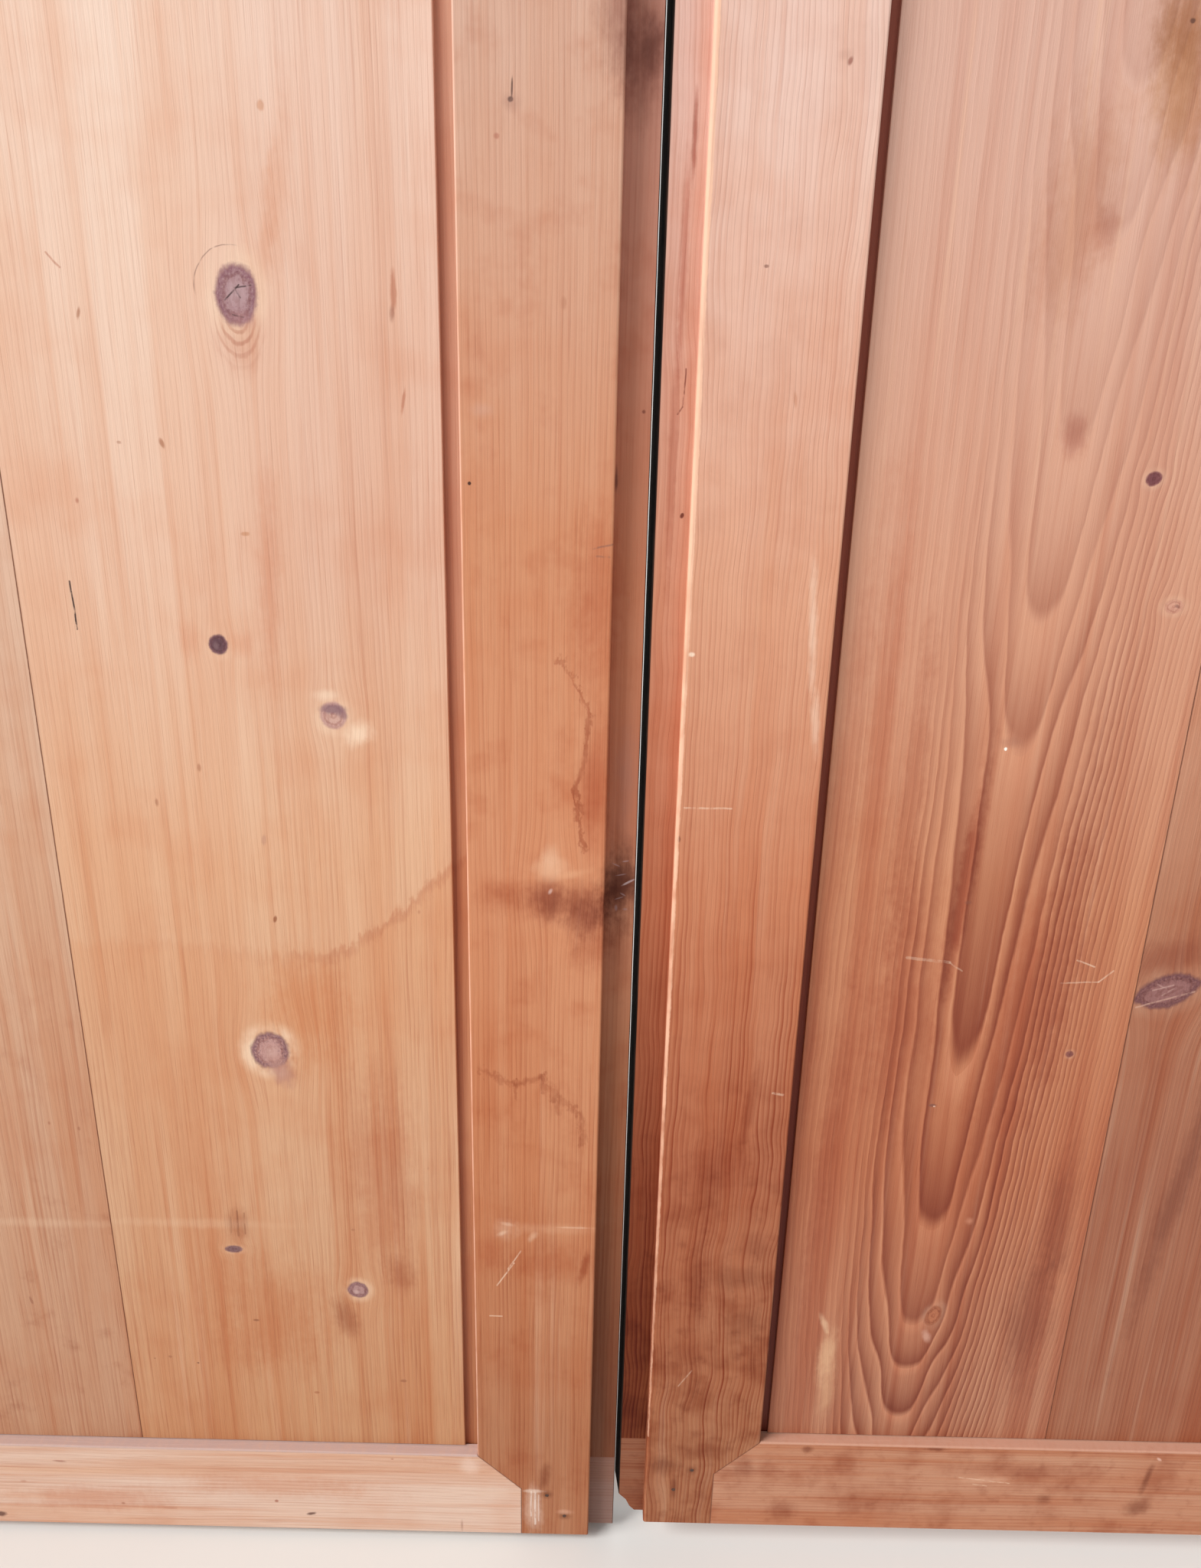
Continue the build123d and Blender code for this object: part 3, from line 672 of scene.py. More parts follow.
    # Painted shade in the sunk margin beside the stile: the margin is painted darker, darkest as a painted shadow of
    # the board's raised edge.
    margin_edge = -(STILE_INNER + LEFT_MARGIN)
    colour = f.tint(colour, x.fade(margin_edge - 0.4, margin_edge + 0.5) * f.front, tone(226, 206, 196))
    deep = x.fade(margin_edge - 0.2, margin_edge + 0.5) * x.fade(margin_edge + 2.0, margin_edge + 10.0, 1.0, 0.0)
    colour = f.tint(colour, deep * f.front * z.fade(500.0, 1150.0, 0.75, 0.6), tone(200, 142, 116))
    return f.seam(colour, (LEFT_JOINT, 60.0), (LEFT_JOINT, 1960.0))


def left_outer_board():
    f = Pine("left outer board pine")
    f.rings((-760.0, 42.0), 3.8, waver=12.0)
    colour = f.wood((tone(190, 143, 112), tone(202, 157, 127), tone(214, 174, 146), tone(223, 188, 165),
                     tone(234, 204, 184)), 9.0, 0.35)
    blotted = f.blotches(26.0, 4.0).fade(0.55, 0.8) * f.z.fade(150.0, 700.0, 0.5, 0.1)
    colour = f.tint(colour, blotted, tone(206, 160, 140))
    colour = f.flecks(colour, 4.3, 0.93)
    colour = f.draw_marks(colour, (
        Mark(-489, 340, 60, 4.5, CREAM, 0.14),
        Mark(-503.6, 257.5, 1.3, 5, tone(150, 96, 72), 0.7, 0.5, -12),
    ))
    return f.timber(f.seam(colour, (LEFT_JOINT, 60.0), (LEFT_JOINT, 1960.0)))


def right_inner_board():
    f = Pine("right inner board pine")
    x, z = f.x, f.z
    knots = (
        Knot(324.5, 960.3, 5.6, 4.6, -25, tone(116, 66, 70), tone(136, 84, 84), 0.16, 0.45),
        Knot(353, 877, 7, 5, 0, tone(208, 154, 132), tone(200, 144, 120), 0.12, 0.5),
        Knot(263.5, 264, 6.5, 11, 16, tone(176, 108, 76), tone(150, 86, 60), 0.15, 0.6),
        Knot(338.2, 525.2, 3.2, 3, 0, tone(132, 78, 72), tone(160, 100, 84), 0.2, 0.4),
    )
    f.bulge(knots)
    # Rings rise as tall tongues on both sides of a heart line that leans a little.
    waver = (f.noise(x * 0.01, 0.0, z * 0.006, 2.0) - 0.5) * 9.0 + f.coarse * 2.4
    off_heart = f.across + waver - (z * 0.03 + 240.0)
    aside = f.number("MAXIMUM", off_heart, off_heart / -1.12)
    spread = aside.curve((0.0, 240.0), ((0.0, 0.0), (6.0, 0.03), (11.0, 0.13), (14.0, 0.34), (20.0, 1.0),
                                        (35.0, 2.0), (44.0, 3.0), (50.0, 4.0), (60.0, 6.0), (74.0, 9.0),
                                        (100.0, 15.5), (130.0, 24.0), (240.0, 60.0)))
    lift = z.curve((0.0, DOOR_TOP), ((0.0, 9.6), (150.0, 7.0), (205.0, 6.0), (253.0, 5.0), (353.0, 4.0), (505.0, 3.0),
                                     (768.0, 2.0), (863.0, 1.0), (975.0, 0.0), (1098.0, -1.0), (1180.0, -2.0),
                                     (1400.0, -4.0), (2000.0, -8.0)))
    uneven = (f.noise(f.across * 0.08, 0.0, z * 0.004, 2.0) - 0.5) * aside.fade(20.0, 70.0, 0.1, 0.9)
    f.count = spread + lift + uneven
    f.ring_tones(1.5, 0.13)
    low = z.fade(600.0, 1050.0, 1.0, 0.32) * off_heart.fade(62.0, 105.0, 1.0, 0.4)
    low = low * off_heart.fade(-70.0, -40.0, 0.3, 1.0)
    # Tones paler upwards, partly a painted sheen of light on the upper door.
    colour = f.height_tones_and_sheen((tone(185, 129, 100), tone(187, 116, 81), tone(202, 137, 101), tone(212, 156, 128),
                     tone(218, 175, 157)))
    colour = f.tint(colour, f.late * (f.strength * 0.3 + 0.68) * low, tone(156, 78, 48))
    pale_side = f.share.fade(0.0, 0.22, 1.0, 0.0) * (f.strength * 0.2 + 0.16)
    colour = f.blend(pale_side * low, colour, tone(222, 158, 122))
    colour = f.tint(colour, f.bands(15.0, 3.0).fade(0.42, 0.72) * f.lively * 0.4, tone(214, 156, 130))
    colour = f.tint(colour, f.bands(5.0, 8.0, 0.003).fade(0.5, 0.78) * f.lively * 0.3, tone(208, 152, 126))
    streaks = f.bands(8.0, 13.0, 0.002).fade(0.58, 0.8)
    colour = f.blend(streaks * z.fade(300.0, 1000.0, 0.08, 0.3), colour, tone(232, 186, 156))
    colour = f.tint(colour, f.fibre().fade(0.48, 0.82) * f.lively * 0.36, tone(192, 134, 106))
    return f.timber(f.by_zone(colour, right_inner_details, knots))


def right_inner_details(f, colour, knots):
    colour = f.draw_stains(colour, (
        Mark(192, 730, 8, 135, tone(198, 128, 96), 0.4, 0.8),
        Mark(166, 780, 10, 150, tone(226, 172, 142), 0.35),
        Mark(239, 665, 7, 90, tone(186, 104, 72), 0.65, 0.7, 3),
        Mark(140, 650, 9, 260, tone(214, 144, 110), 0.32, 0.9, 2),
        Mark(157, 420, 7, 150, tone(200, 126, 94), 0.4, 0.9, 2),
        Mark(205, 560, 26, 110, tone(216, 160, 140), 0.5),
        Mark(300, 560, 30, 120, tone(220, 164, 140), 0.5, 0.9, 4),
        Mark(354, 367, 14, 70, MAUVE, 0.4),
        Mark(344, 262, 20, 70, MAUVE, 0.45),
        Mark(300, 1185, 16, 46, tone(214, 184, 132), 0.7, 0.9, -8),
        Mark(297, 1230, 20, 40, tone(190, 150, 104), 0.6),
        Mark(250, 1120, 22, 60, tone(222, 190, 162), 0.5, 0.9, 6),
        Mark(268.6, 985, 8, 14, tone(196, 140, 130), 0.5),
        Mark(268, 1106, 7, 16, tone(206, 156, 138), 0.4),
        Mark(318, 640, 14, 130, tone(206, 156, 144), 0.4),
    ))
    colour = f.draw_knots(colour, knots)
    colour = f.flecks(colour, 7.7, 0.93)
    colour = f.draw_marks(colour, (
        Mark(177, 214, 7.5, 30, tone(228, 186, 146), 0.5, 0.8, 4),
        Mark(180, 176, 7, 28, tone(218, 174, 134), 0.35, 0.9, 4),
        Mark(172, 252, 2.6, 10, tone(232, 194, 158), 0.5, 0.8, -20),
        Mark(260.2, 241.4, 3.4, 6, tone(206, 158, 138), 0.7, 0.8, -16),
        Mark(238, 475.4, 3.4, 1.6, tone(120, 76, 66), 0.8, 0.5),
        Mark(239.5, 474.4, 1, 0.8, tone(222, 180, 160), 0.8, 0.4),
        Mark(254.3, 773, 1.2, 1.5, tone(255, 250, 238), 0.95, 0.3),
        Mark(258, 778, 8, 4, tone(150, 96, 80), 0.3, 0.8),
        Mark(243.5, 653.1, 2.6, 1.6, tone(130, 76, 58), 0.6, 0.6),
        Mark(281.7, 363.6, 3.4, 4.2, tone(206, 142, 112), 0.5, 0.7),
        Mark(300, 1217, 1.6, 1.4, tone(90, 56, 46), 0.8, 0.4),
        Mark(355.6, 877, 2.4, 1.3, tone(112, 66, 60), 0.6, 0.5, 30),
    ))
    colour = f.draw_scratches(colour, (
        Scratch((204, 606.5), (236, 603), 0.9, PALE_RUB, 0.2),
        Scratch((236, 603), (246, 595.8), 0.3, PALE_RUB, 0.22),
        Scratch((330.8, 606.8), (345, 602), 0.3, PALE_RUB, 0.42),
        Scratch((359.7, 598.8), (350, 589), 0.3, PALE_RUB, 0.4),
        Scratch((350, 589), (321.8, 587.4), 0.3, PALE_RUB, 0.28),
    ))
    # Painted shade: the sunk margin beside the stile is painted dark, where the stile's shadow falls in it.
    margin_edge = STILE_INNER + RIGHT_MARGIN
    painted_margin_shade = f.x.fade(margin_edge - 0.3, margin_edge + 0.4, 1.0, 0.0)
    colour = f.tint(colour, painted_margin_shade * f.front, tone(170, 116, 104))
    return f.seam(colour, (RIGHT_JOINT, 60.0), (RIGHT_JOINT, 1960.0), 0.8, 0.2, tone(100, 56, 40))


def right_outer_board():
    f = Pine("right outer board pine")
    knots = (Knot(403.5, 582.5, 26.5, 14.5, -20, tone(146, 100, 96), tone(104, 60, 64), 0.1, 0.5),)
    f.bulge(knots)
    f.rings((700.0, 48.0), 3.2, waver=10.0)
    colour = f.wood((tone(163, 106, 79), tone(161, 102, 76), tone(176, 118, 89), tone(204, 148, 120),
                     tone(220, 174, 152)), 12.0, 0.5, tone(180, 112, 80), 0.4)
    return f.timber(f.by_zone(colour, right_outer_details, knots), 0.4)


def right_outer_details(f, colour, knots):
    colour = f.draw_stains(colour, (
        Mark(446, 405, 9, 150, MAUVE, 0.5, 0.9, 6),
        Mark(398, 612, 34, 16, tone(206, 168, 160), 0.55, 0.9, -20),
    ))
    colour = f.draw_knots(colour, knots, pointed=True)
    dent = tone(196, 156, 146)
    colour = f.draw_scratches(colour, (
        Scratch((392, 583), (407, 588), 0.3, dent, 0.6),
        Scratch((400, 579), (409, 586), 0.25, dent, 0.5),
        Scratch((395, 588.5), (402, 585), 0.25, dent, 0.4),
        Scratch((382, 568), (424, 583), 0.4, tone(214, 170, 150), 0.45),
    ))
    colour = f.flecks(colour, 3.1, 0.95)
    return f.seam(colour, (RIGHT_JOINT, 60.0), (RIGHT_JOINT, 1960.0), 0.8, 0.2, tone(100, 56, 40))


def left_meeting_stile():
    f = Pine("left meeting stile pine")
    x = f.x
    f.bulge((Knot(-64, 664, 12, 16, 0, None, None, 0, 0.5),))
    f.rings((-330.0, 60.0), 3.4, waver=7.0)
    colour = f.wood((tone(178, 122, 89), tone(200, 138, 101), tone(211, 146, 109), tone(209, 146, 110),
                     tone(214, 173, 152)), 20.0, 0.45, WARM_SHADE, 0.28)
    colour = f.tint(colour, f.blotches(34.0, 6.0).fade(0.5, 0.78) * 0.35, tone(222, 176, 154))
    # The meeting edge is painted dark brown, a painted shade for the narrow gap between the leaves.
    edge = x.fade(-GAP_EDGE - 0.9, -GAP_EDGE - 0.2) + f.y.fade(LIP_Y + 1.0, LIP_Y + 2.6) * x.fade(-9.5, -8.0)
    edge = edge.fade(0.0, 1.0)
    rough = f.fibre(0.7).fade_straight(0.3, 0.8, 0.56, 0.7) + edge * 0.4
    return f.timber(f.by_zone(colour, left_stile_details, edge), 0.3, 0.12, rough)


def left_stile_details(f, colour, edge):
    x, z = f.x, f.z
    stain = tone(196, 150, 132)
    colour = f.draw_stains(colour, (
        Mark(-62, 652, 50, 14, stain, 0.36),
        Mark(-46, 647, 26, 18, tone(180, 138, 140), 0.5, 0.9, 10),
        Mark(-65, 653, 15, 14, tone(186, 146, 152), 0.55),
        Mark(-35, 638, 16, 22, tone(180, 138, 140), 0.6, 0.9, 30),
        Mark(-30, 614, 16, 20, tone(206, 160, 146), 0.5, 0.9, 20),
        Mark(-104, 656, 16, 14, tone(222, 174, 150), 0.35),
        Mark(-28, 1215, 12, 40, tone(170, 130, 126), 0.6),
        Mark(-34, 870, 16, 60, tone(226, 184, 170), 0.6),
        Mark(-33, 740, 10, 46, tone(216, 164, 146), 0.5),
        Mark(-34, 315, 3.4, 18, tone(196, 136, 110), 0.6, 0.8, 12),
        Mark(-65, 76, 5, 16, tone(170, 116, 92), 0.6, 0.9, 6),
        Mark(-62.8, 57, 5, 5, tone(150, 114, 104), 0.6),
        Mark(-46.8, 31, 5, 4, tone(150, 114, 104), 0.6),
        Mark(-112, 330, 12, 22, tone(230, 186, 166), 0.5),
        Mark(-58, 318, 34, 18, tone(226, 176, 148), 0.5),
        Mark(-13, 1192, 14, 34, tone(170, 138, 138), 0.6),
        Mark(-9, 1196, 6, 16, tone(140, 112, 114), 0.6),
        Mark(-13, 655, 16, 34, tone(150, 122, 124), 0.75),
        Mark(-12, 662, 13, 20, tone(128, 98, 100), 0.6, 0.8),
        Mark(-12, 705, 12, 40, tone(220, 198, 200), 0.25),
        Mark(-11.5, 605, 12, 30, tone(196, 156, 146), 0.4),
    ))
    # Edges of old stains.
    red_line = tone(178, 106, 76)
    colour = f.contour(colour, ((-60.0, 833.0), (-47.0, 815.0), (-38.0, 794.0), (-39.6, 771.0), (-46.4, 740.0),
                                (-43.5, 710.0), (-39.4, 692.0)), 0.6, red_line, 0.5, 2.4)
    if f.passes(((0.0, 672.0), (0.0, 840.0))):
        line = z.curve((680.0, 850.0), ((680.0, -38.0), (692.0, -39.4), (710.0, -43.5), (740.0, -46.4),
                                        (771.0, -39.6), (794.0, -38.0), (815.0, -47.0), (850.0, -66.0)))
        tinged = (x - line + f.ruffle * 12.0).fade(-1.0, 5.0)
        tinged = tinged * z.fade(672.0, 700.0) * z.fade(770.0, 840.0, 1.0, 0.0)
        colour = f.tint(colour, tinged * f.front * 0.3, tone(228, 188, 176))
    colour = f.contour(colour, ((-118.0, 506.0), (-108.0, 500.0), (-91.0, 491.0), (-69.0, 500.0), (-58.5, 481.0),
                                (-42.0, 469.0), (-36.0, 440.0)), 0.4, red_line, 0.4, 3.6)
    runs = ((-91.0, 494.0, 14.0), (-69.5, 502.0, 16.0), (-58.0, 484.0, 18.0), (-40.0, 468.0, 30.0))
    for across, top, length in runs:
        colour = f.contour(colour, ((across, top), (across + 1.0, top - length)), 0.42, red_line, 0.5, 2.8)
    colour = f.draw_marks(colour, (
        Mark(-65, 677, 13, 9, tone(232, 184, 150), 0.55),
        Mark(-63.5, 687, 6, 8, tone(230, 184, 152), 0.4),
        Mark(-48, 673, 12, 3, tone(230, 176, 138), 0.35, 0.9, -16),
        Mark(-64.2, 659, 1.3, 2.4, tone(232, 196, 184), 0.5, 0.7, 30),
        Mark(-91.2, 1167.6, 1.7, 1.6, tone(58, 44, 44), 0.95, 0.4),
        Mark(-90.4, 1173, 0.6, 6, tone(96, 70, 64), 0.85, 0.5, 2),
        Mark(-91, 1166, 5, 4.4, tone(176, 132, 116), 0.45),
        Mark(-118.6, 948.5, 1.1, 1.1, tone(66, 40, 36), 0.95, 0.3),
        Mark(-99.5, 1148.5, 1.6, 1.6, tone(182, 118, 98), 0.7, 0.5),
        Mark(-59, 1058, 2, 3.6, tone(186, 130, 104), 0.6, 0.7),
        Mark(-110, 994, 7, 4, tone(206, 158, 138), 0.4),
        Mark(-99, 352, 9.5, 10, tone(232, 196, 168), 0.26),
        Mark(-101, 349, 5, 2.2, tone(238, 206, 180), 0.4, 0.8, -30),
        Mark(-97, 358, 6, 1.8, tone(238, 206, 180), 0.3, 0.8, 12),
        Mark(-76, 346, 6, 3, tone(236, 198, 168), 0.34, 0.8, -50),
        Mark(-60, 354, 40, 5, tone(230, 182, 148), 0.2),
        Mark(-42, 356, 16, 0.8, tone(236, 200, 172), 0.35, 0.7),
        Mark(-75, 38, 8, 25, tone(236, 208, 190), 0.4, 0.8),
        Mark(-75, 61, 10, 2, tone(238, 216, 200), 0.45, 0.7),
        Mark(-46.5, 36, 7, 3, tone(222, 176, 152), 0.4, 0.8),
        Mark(-7.5, 662, 5.6, 0.8, tone(206, 180, 172), 0.7, 0.5, -30),
        Mark(-13, 668, 4, 0.5, tone(176, 148, 144), 0.5, 0.6, -12),
        Mark(-14, 649, 3.4, 0.5, tone(176, 148, 144), 0.45, 0.6, -20),
        Mark(-9, 640, 2, 1.2, tone(176, 148, 144), 0.45, 0.7),
        Mark(-17, 676, 3, 0.6, tone(190, 164, 158), 0.5, 0.6, 24),
        Mark(-10, 679, 2.4, 0.6, tone(190, 164, 158), 0.5, 0.6, -10),
        Mark(-16, 641, 1.2, 2.6, tone(176, 148, 144), 0.45, 0.6),
        Mark(-11, 652, 2.6, 0.6, tone(176, 148, 144), 0.45, 0.6, 30),
        Mark(-10.8, 746, 8, 36, tone(176, 132, 118), 0.3),
        Mark(-24, 951, 1.2, 9, tone(110, 68, 60), 0.7, 0.6),
        Mark(-7.6, 994.4, 1.2, 1.2, tone(120, 66, 56), 0.7, 0.5),
    ))
    wear = tone(246, 232, 220)
    colour = f.draw_scratches(colour, (
        Scratch((-86, 331), (-97, 312), 0.28, PALE_RUB, 0.45),
        Scratch((-92, 318), (-106, 294.5), 0.28, PALE_RUB, 0.5),
        Scratch((-112.2, 262), (-102, 262), 0.3, PALE_RUB, 0.45),
        Scratch((-38, 908), (-25, 911.5), 0.3, tone(120, 88, 84), 0.5),
        Scratch((-36, 903), (-27, 903), 0.3, tone(120, 88, 84), 0.35),
        Scratch((-73.6, 60), (-73.2, 20), 0.5, wear, 0.5),
        Scratch((-77.4, 60), (-77, 30), 0.4, wear, 0.4),
        Scratch((-70.4, 56), (-70.2, 24), 0.3, wear, 0.35),
    ))
    # Painted highlight along the stile's inner arris, where light catches the worn edge.
    arris_highlight_pink = tone(234, 192, 172)
    colour = f.worn_arris_highlight(colour, -STILE_INNER, 100.0, 1960.0, 0.5, arris_highlight_pink, 0.6, 0.9)
    # Painted shade in the rebate behind the stile's face: the lip is tinted darker, most towards the bottom.
    lip = x.fade(-LIP_WIDTH - GAP_EDGE - 0.6, -LIP_WIDTH - GAP_EDGE + 0.6)
    shades = ((0.2, tone(182, 168, 166)), (0.4, tone(202, 192, 190)), (0.55, tone(240, 240, 250)),
              (0.72, tone(230, 212, 212)), (0.9, tone(228, 208, 210)))
    colour = f.tint(colour, lip, f.steps(z / LIP_TONES_TOP, shades))
    return mitre_seams(f, f.painted_gap_shade(colour, edge), -1)


def mitre_seams(f, colour, side):
    """The dark line of the corner joint: mitred, then square."""
    top, bottom = (LEFT_RAIL_TOP, LEFT_BOTTOM) if side < 0 else (RIGHT_RAIL_TOP, RIGHT_BOTTOM)
    start = (side * STILE_INNER, top)
    end = (side * (STILE_INNER - MITRE), top - MITRE)
    if not f.passes((start, (end[0], bottom))):
        return colour
    shade = tone(110, 66, 50)
    colour = f.seam(colour, start, end, 0.75, 0.2, shade)
    return f.seam(colour, end, (end[0], bottom), 0.75, 0.2, shade)


def right_meeting_stile():
    f = Pine("right meeting stile pine")
    x, z = f.x, f.z
    # The grain wavers as a flame low on the stile.
    sway = (f.noise(x * 0.014, 0.0, z * 0.008, 2.0) - 0.5) * z.fade(300.0, 640.0, 26.0, 13.0)
    f.across = f.across + sway
    f.rings((-160.0, 120.0), 2.7, waver=5.0, uneven=1.2)
    colour = f.wood((tone(171, 116, 84), tone(176, 110, 80), tone(201, 132, 98), tone(219, 162, 132),
                     tone(233, 199, 185)), 30.0, z.fade(300.0, 900.0, 1.25, 0.55), tone(190, 122, 92), 0.34, 1.4)
    deep = z.fade(220.0, 620.0, 1.0, 0.15)
    colour = f.tint(colour, f.blotches(44.0, 8.0).fade(0.44, 0.76) * deep * 0.7, tone(196, 146, 120))
    colour = f.tint(colour, f.blotches(15.0, 18.0).fade(0.5, 0.8) * deep * 0.4, tone(178, 126, 106))
    # The meeting edge is painted dark brown, a painted shade for the narrow gap between the leaves.
    edge = x.fade(GAP_EDGE + 0.2, GAP_EDGE + 0.9, 1.0, 0.0)
    rough = f.fibre(0.7).fade_straight(0.3, 0.8, 0.56, 0.7) + edge * 0.4
    return f.timber(f.by_zone(colour, right_stile_details, edge), 0.4, 0.12, rough)


def right_stile_details(f, colour, edge):
    x, z = f.x, f.z
    blot = tone(150, 96, 76)
    colour = f.draw_stains(colour, (
        Mark(93, 308, 26, 12, blot, 0.34, 0.9, -6),
        Mark(104, 262, 17, 18, blot, 0.34, 0.9, 20),
        Mark(108, 340, 16, 14, tone(180, 130, 120), 0.35),
        Mark(57, 226, 20, 18, tone(190, 136, 112), 0.4),
        Mark(42, 97, 14, 10, blot, 0.5),
        Mark(66.3, 91, 5, 5, tone(150, 106, 94), 0.6),
        Mark(50.8, 70, 3.4, 12, tone(160, 112, 96), 0.6),
        Mark(68, 112, 22, 8, tone(196, 150, 130), 0.4),
        Mark(60, 300, 9, 40, tone(190, 136, 112), 0.4),
        Mark(92, 470, 5, 40, tone(190, 128, 98), 0.5, 0.8, 6),
        Mark(70, 420, 30, 26, tone(206, 160, 148), 0.4),
        Mark(17.4, 1153, 1.6, 24, tone(176, 104, 84), 0.7, 0.7),
        Mark(14, 1080, 2.4, 60, tone(206, 140, 120), 0.5, 0.8),
        Mark(12, 960, 3, 80, tone(196, 126, 100), 0.4, 0.8),
    ))
    colour = f.draw_marks(colour, (
        Mark(104.1, 1191, 1.5, 2.4, tone(150, 92, 80), 0.8, 0.5, 20),
        Mark(101, 1194, 4, 3, tone(196, 150, 132), 0.4),
        Mark(63.5, 1081.5, 1.5, 1, tone(130, 88, 78), 0.7, 0.5),
        Mark(87, 1005, 1.4, 5, tone(196, 134, 106), 0.6, 0.6, -8),
        Mark(110, 860, 3, 42, tone(244, 212, 188), 0.5, 0.9, -4),
        Mark(117.5, 792, 3, 20, tone(244, 212, 188), 0.4, 0.9, -4),
        Mark(19.9, 929.3, 1.2, 1.8, tone(104, 44, 34), 0.9, 0.4, 20),
        Mark(27.4, 702.8, 1.6, 2.6, tone(128, 74, 56), 0.7, 0.5),
        Mark(30, 838.6, 2, 1.6, tone(250, 224, 200), 0.8, 0.6),
    ))
    colour = f.draw_scratches(colour, (
        Scratch((30.2, 727), (63.4, 727.1), 0.35, PALE_RUB, 0.4),
        Scratch((110, 490), (118, 489), 0.7, PALE_RUB, 0.36),
        Scratch((49.4, 188.7), (60.5, 206.8), 0.25, PALE_RUB, 0.28),
        Scratch((18.3, 1021), (17.2, 998), 0.16, tone(120, 60, 48), 0.8),
        Scratch((17.2, 998), (14.4, 993.6), 0.16, tone(120, 60, 48), 0.8),
    ))
    lip = x.fade(LIP_WIDTH + GAP_EDGE - 0.6, LIP_WIDTH + GAP_EDGE + 0.6, 1.0, 0.0)
    shades = ((0.2, tone(182, 152, 132)), (0.6, tone(240, 224, 220)), (0.92, tone(246, 238, 238)))
    colour = f.tint(colour, lip, f.steps(z / LIP_TONES_TOP, shades))
    arris = LIP_WIDTH + GAP_EDGE + 1.0
    width = z.curve((0.0, 1300.0), ((0.0, 0.1), (200.0, 0.2), (330.0, 0.6), (700.0, 1.2), (950.0, 1.9), (1300.0, 2.1)))
    highlight = f.stroke((arris, 130.0), (arris, 2000.0), width, 1.0, f.joined(x + f.ruffle * 2.0, z, 0.0))
    highlight = highlight * f.coarse.fade(-0.2, 0.1, 0.4, 1.0) * f.y.fade(FACE_Y + 3.5, FACE_Y + 5.0, 1.0, 0.0)
    colour = f.blend(highlight * z.fade(120.0, 800.0, 0.42, 0.78), colour, tone(244, 196, 166))
    return mitre_seams(f, f.painted_gap_shade(colour, edge), 1)


def rail(name, side, tones, pith, seed, ring_amount=0.4, stains=(), marks=(), scratches=(), ledge_light=None, lip=None):
    f = Pine(name, "sideways")
    f.rings(pith, 3.2, waver=6.0)
    colour = f.wood(tones, seed, ring_amount, WARM_SHADE, 0.4, 1.1)
    if side > 0:
        colour = f.tint(colour, f.blotches(36.0, seed).fade(0.46, 0.78) * 0.55, tone(200, 152, 130))
        colour = f.tint(colour, f.blotches(12.0, seed + 3.0).fade(0.52, 0.8) * 0.3, tone(190, 140, 118))
    colour = f.flecks(colour, seed, 0.9, 16.0)
    colour = f.draw_stains(colour, stains)
    colour = f.draw_marks(colour, marks)
    colour = f.draw_scratches(colour, scratches)
    # The top ledge is painted with the light it shows: a paler painted highlight on the right rail, a greyer, darker
    # painted sky reflection on the left rail.
    if ledge_light:
        top = LEFT_RAIL_TOP if side < 0 else RIGHT_RAIL_TOP
        amount = f.z.fade(top - 2.2, top - 0.6) * f.ruffle.fade(-0.3, 0.1, 0.7, 0.95)
        colour = f.blend(amount, colour, ledge_light)
    away = f.x.size()
    # Where the rail runs under a lip it is tinted darker; on the left rail this is painted shade in the rebate behind
    # the stile's face.
    if lip:
        under_lip = away.fade(LIP_WIDTH + GAP_EDGE - 0.6, LIP_WIDTH + GAP_EDGE + 0.6, 1.0, 0.0)
        colour = f.tint(colour, under_lip, lip)
    rough = f.fibre(0.7).fade_straight(0.3, 0.8, 0.52, 0.66)
    if side:
        # The end at the meeting edge is painted dark, a painted shade for the gap between the leaves.
        edge = away.fade(GAP_EDGE + 0.1, GAP_EDGE + 0.8, 1.0, 0.0)
        colour = f.painted_gap_shade(colour, edge)
        colour = mitre_seams(f, colour, side)
        rough = rough + edge * 0.4
    return f.timber(colour, 0.3, 0.15, rough)


def left_bottom_rail():
    dark = tone(96, 60, 52)
    pale = (tone(223, 193, 174),) * 5
    return rail("left bottom rail pine", -1, pale, (190.0, 40.0), 51.0, 0.35, (
        Mark(-300, 60, 90, 12, tone(234, 190, 160), 0.5, 0.9, 2),
        Mark(-470, 40, 70, 14, tone(228, 182, 160), 0.5, 0.9, -2),
        Mark(-60, 92, 120, 6, tone(220, 178, 160), 0.3),
    ), (
        Mark(-277.1, 26.6, 4.6, 1.9, dark, 0.85, 0.5, -14),
        Mark(-560.5, 17.3, 4.6, 3.4, dark, 0.85, 0.5),
        Mark(-307.7, 41.2, 1.8, 1.6, tone(160, 96, 76), 0.75, 0.5),
        Mark(-447.3, 34.1, 1.8, 1.2, tone(166, 110, 86), 0.7, 0.5),
        Mark(-405.1, 29.4, 6, 1.2, tone(186, 130, 104), 0.6, 0.6),
        Mark(-499, 84.2, 6, 1.3, tone(160, 108, 92), 0.7, 0.6, 4),
        Mark(-534.5, 58.5, 3, 1.5, tone(186, 134, 110), 0.6, 0.6),
        Mark(-132, 90, 10, 9, tone(244, 220, 204), 0.4, 0.9, 45),
        Mark(-140, 16, 1.2, 7, tone(150, 104, 90), 0.5, 0.8),
    ), (), tone(189, 161, 153), tone(170, 156, 158))


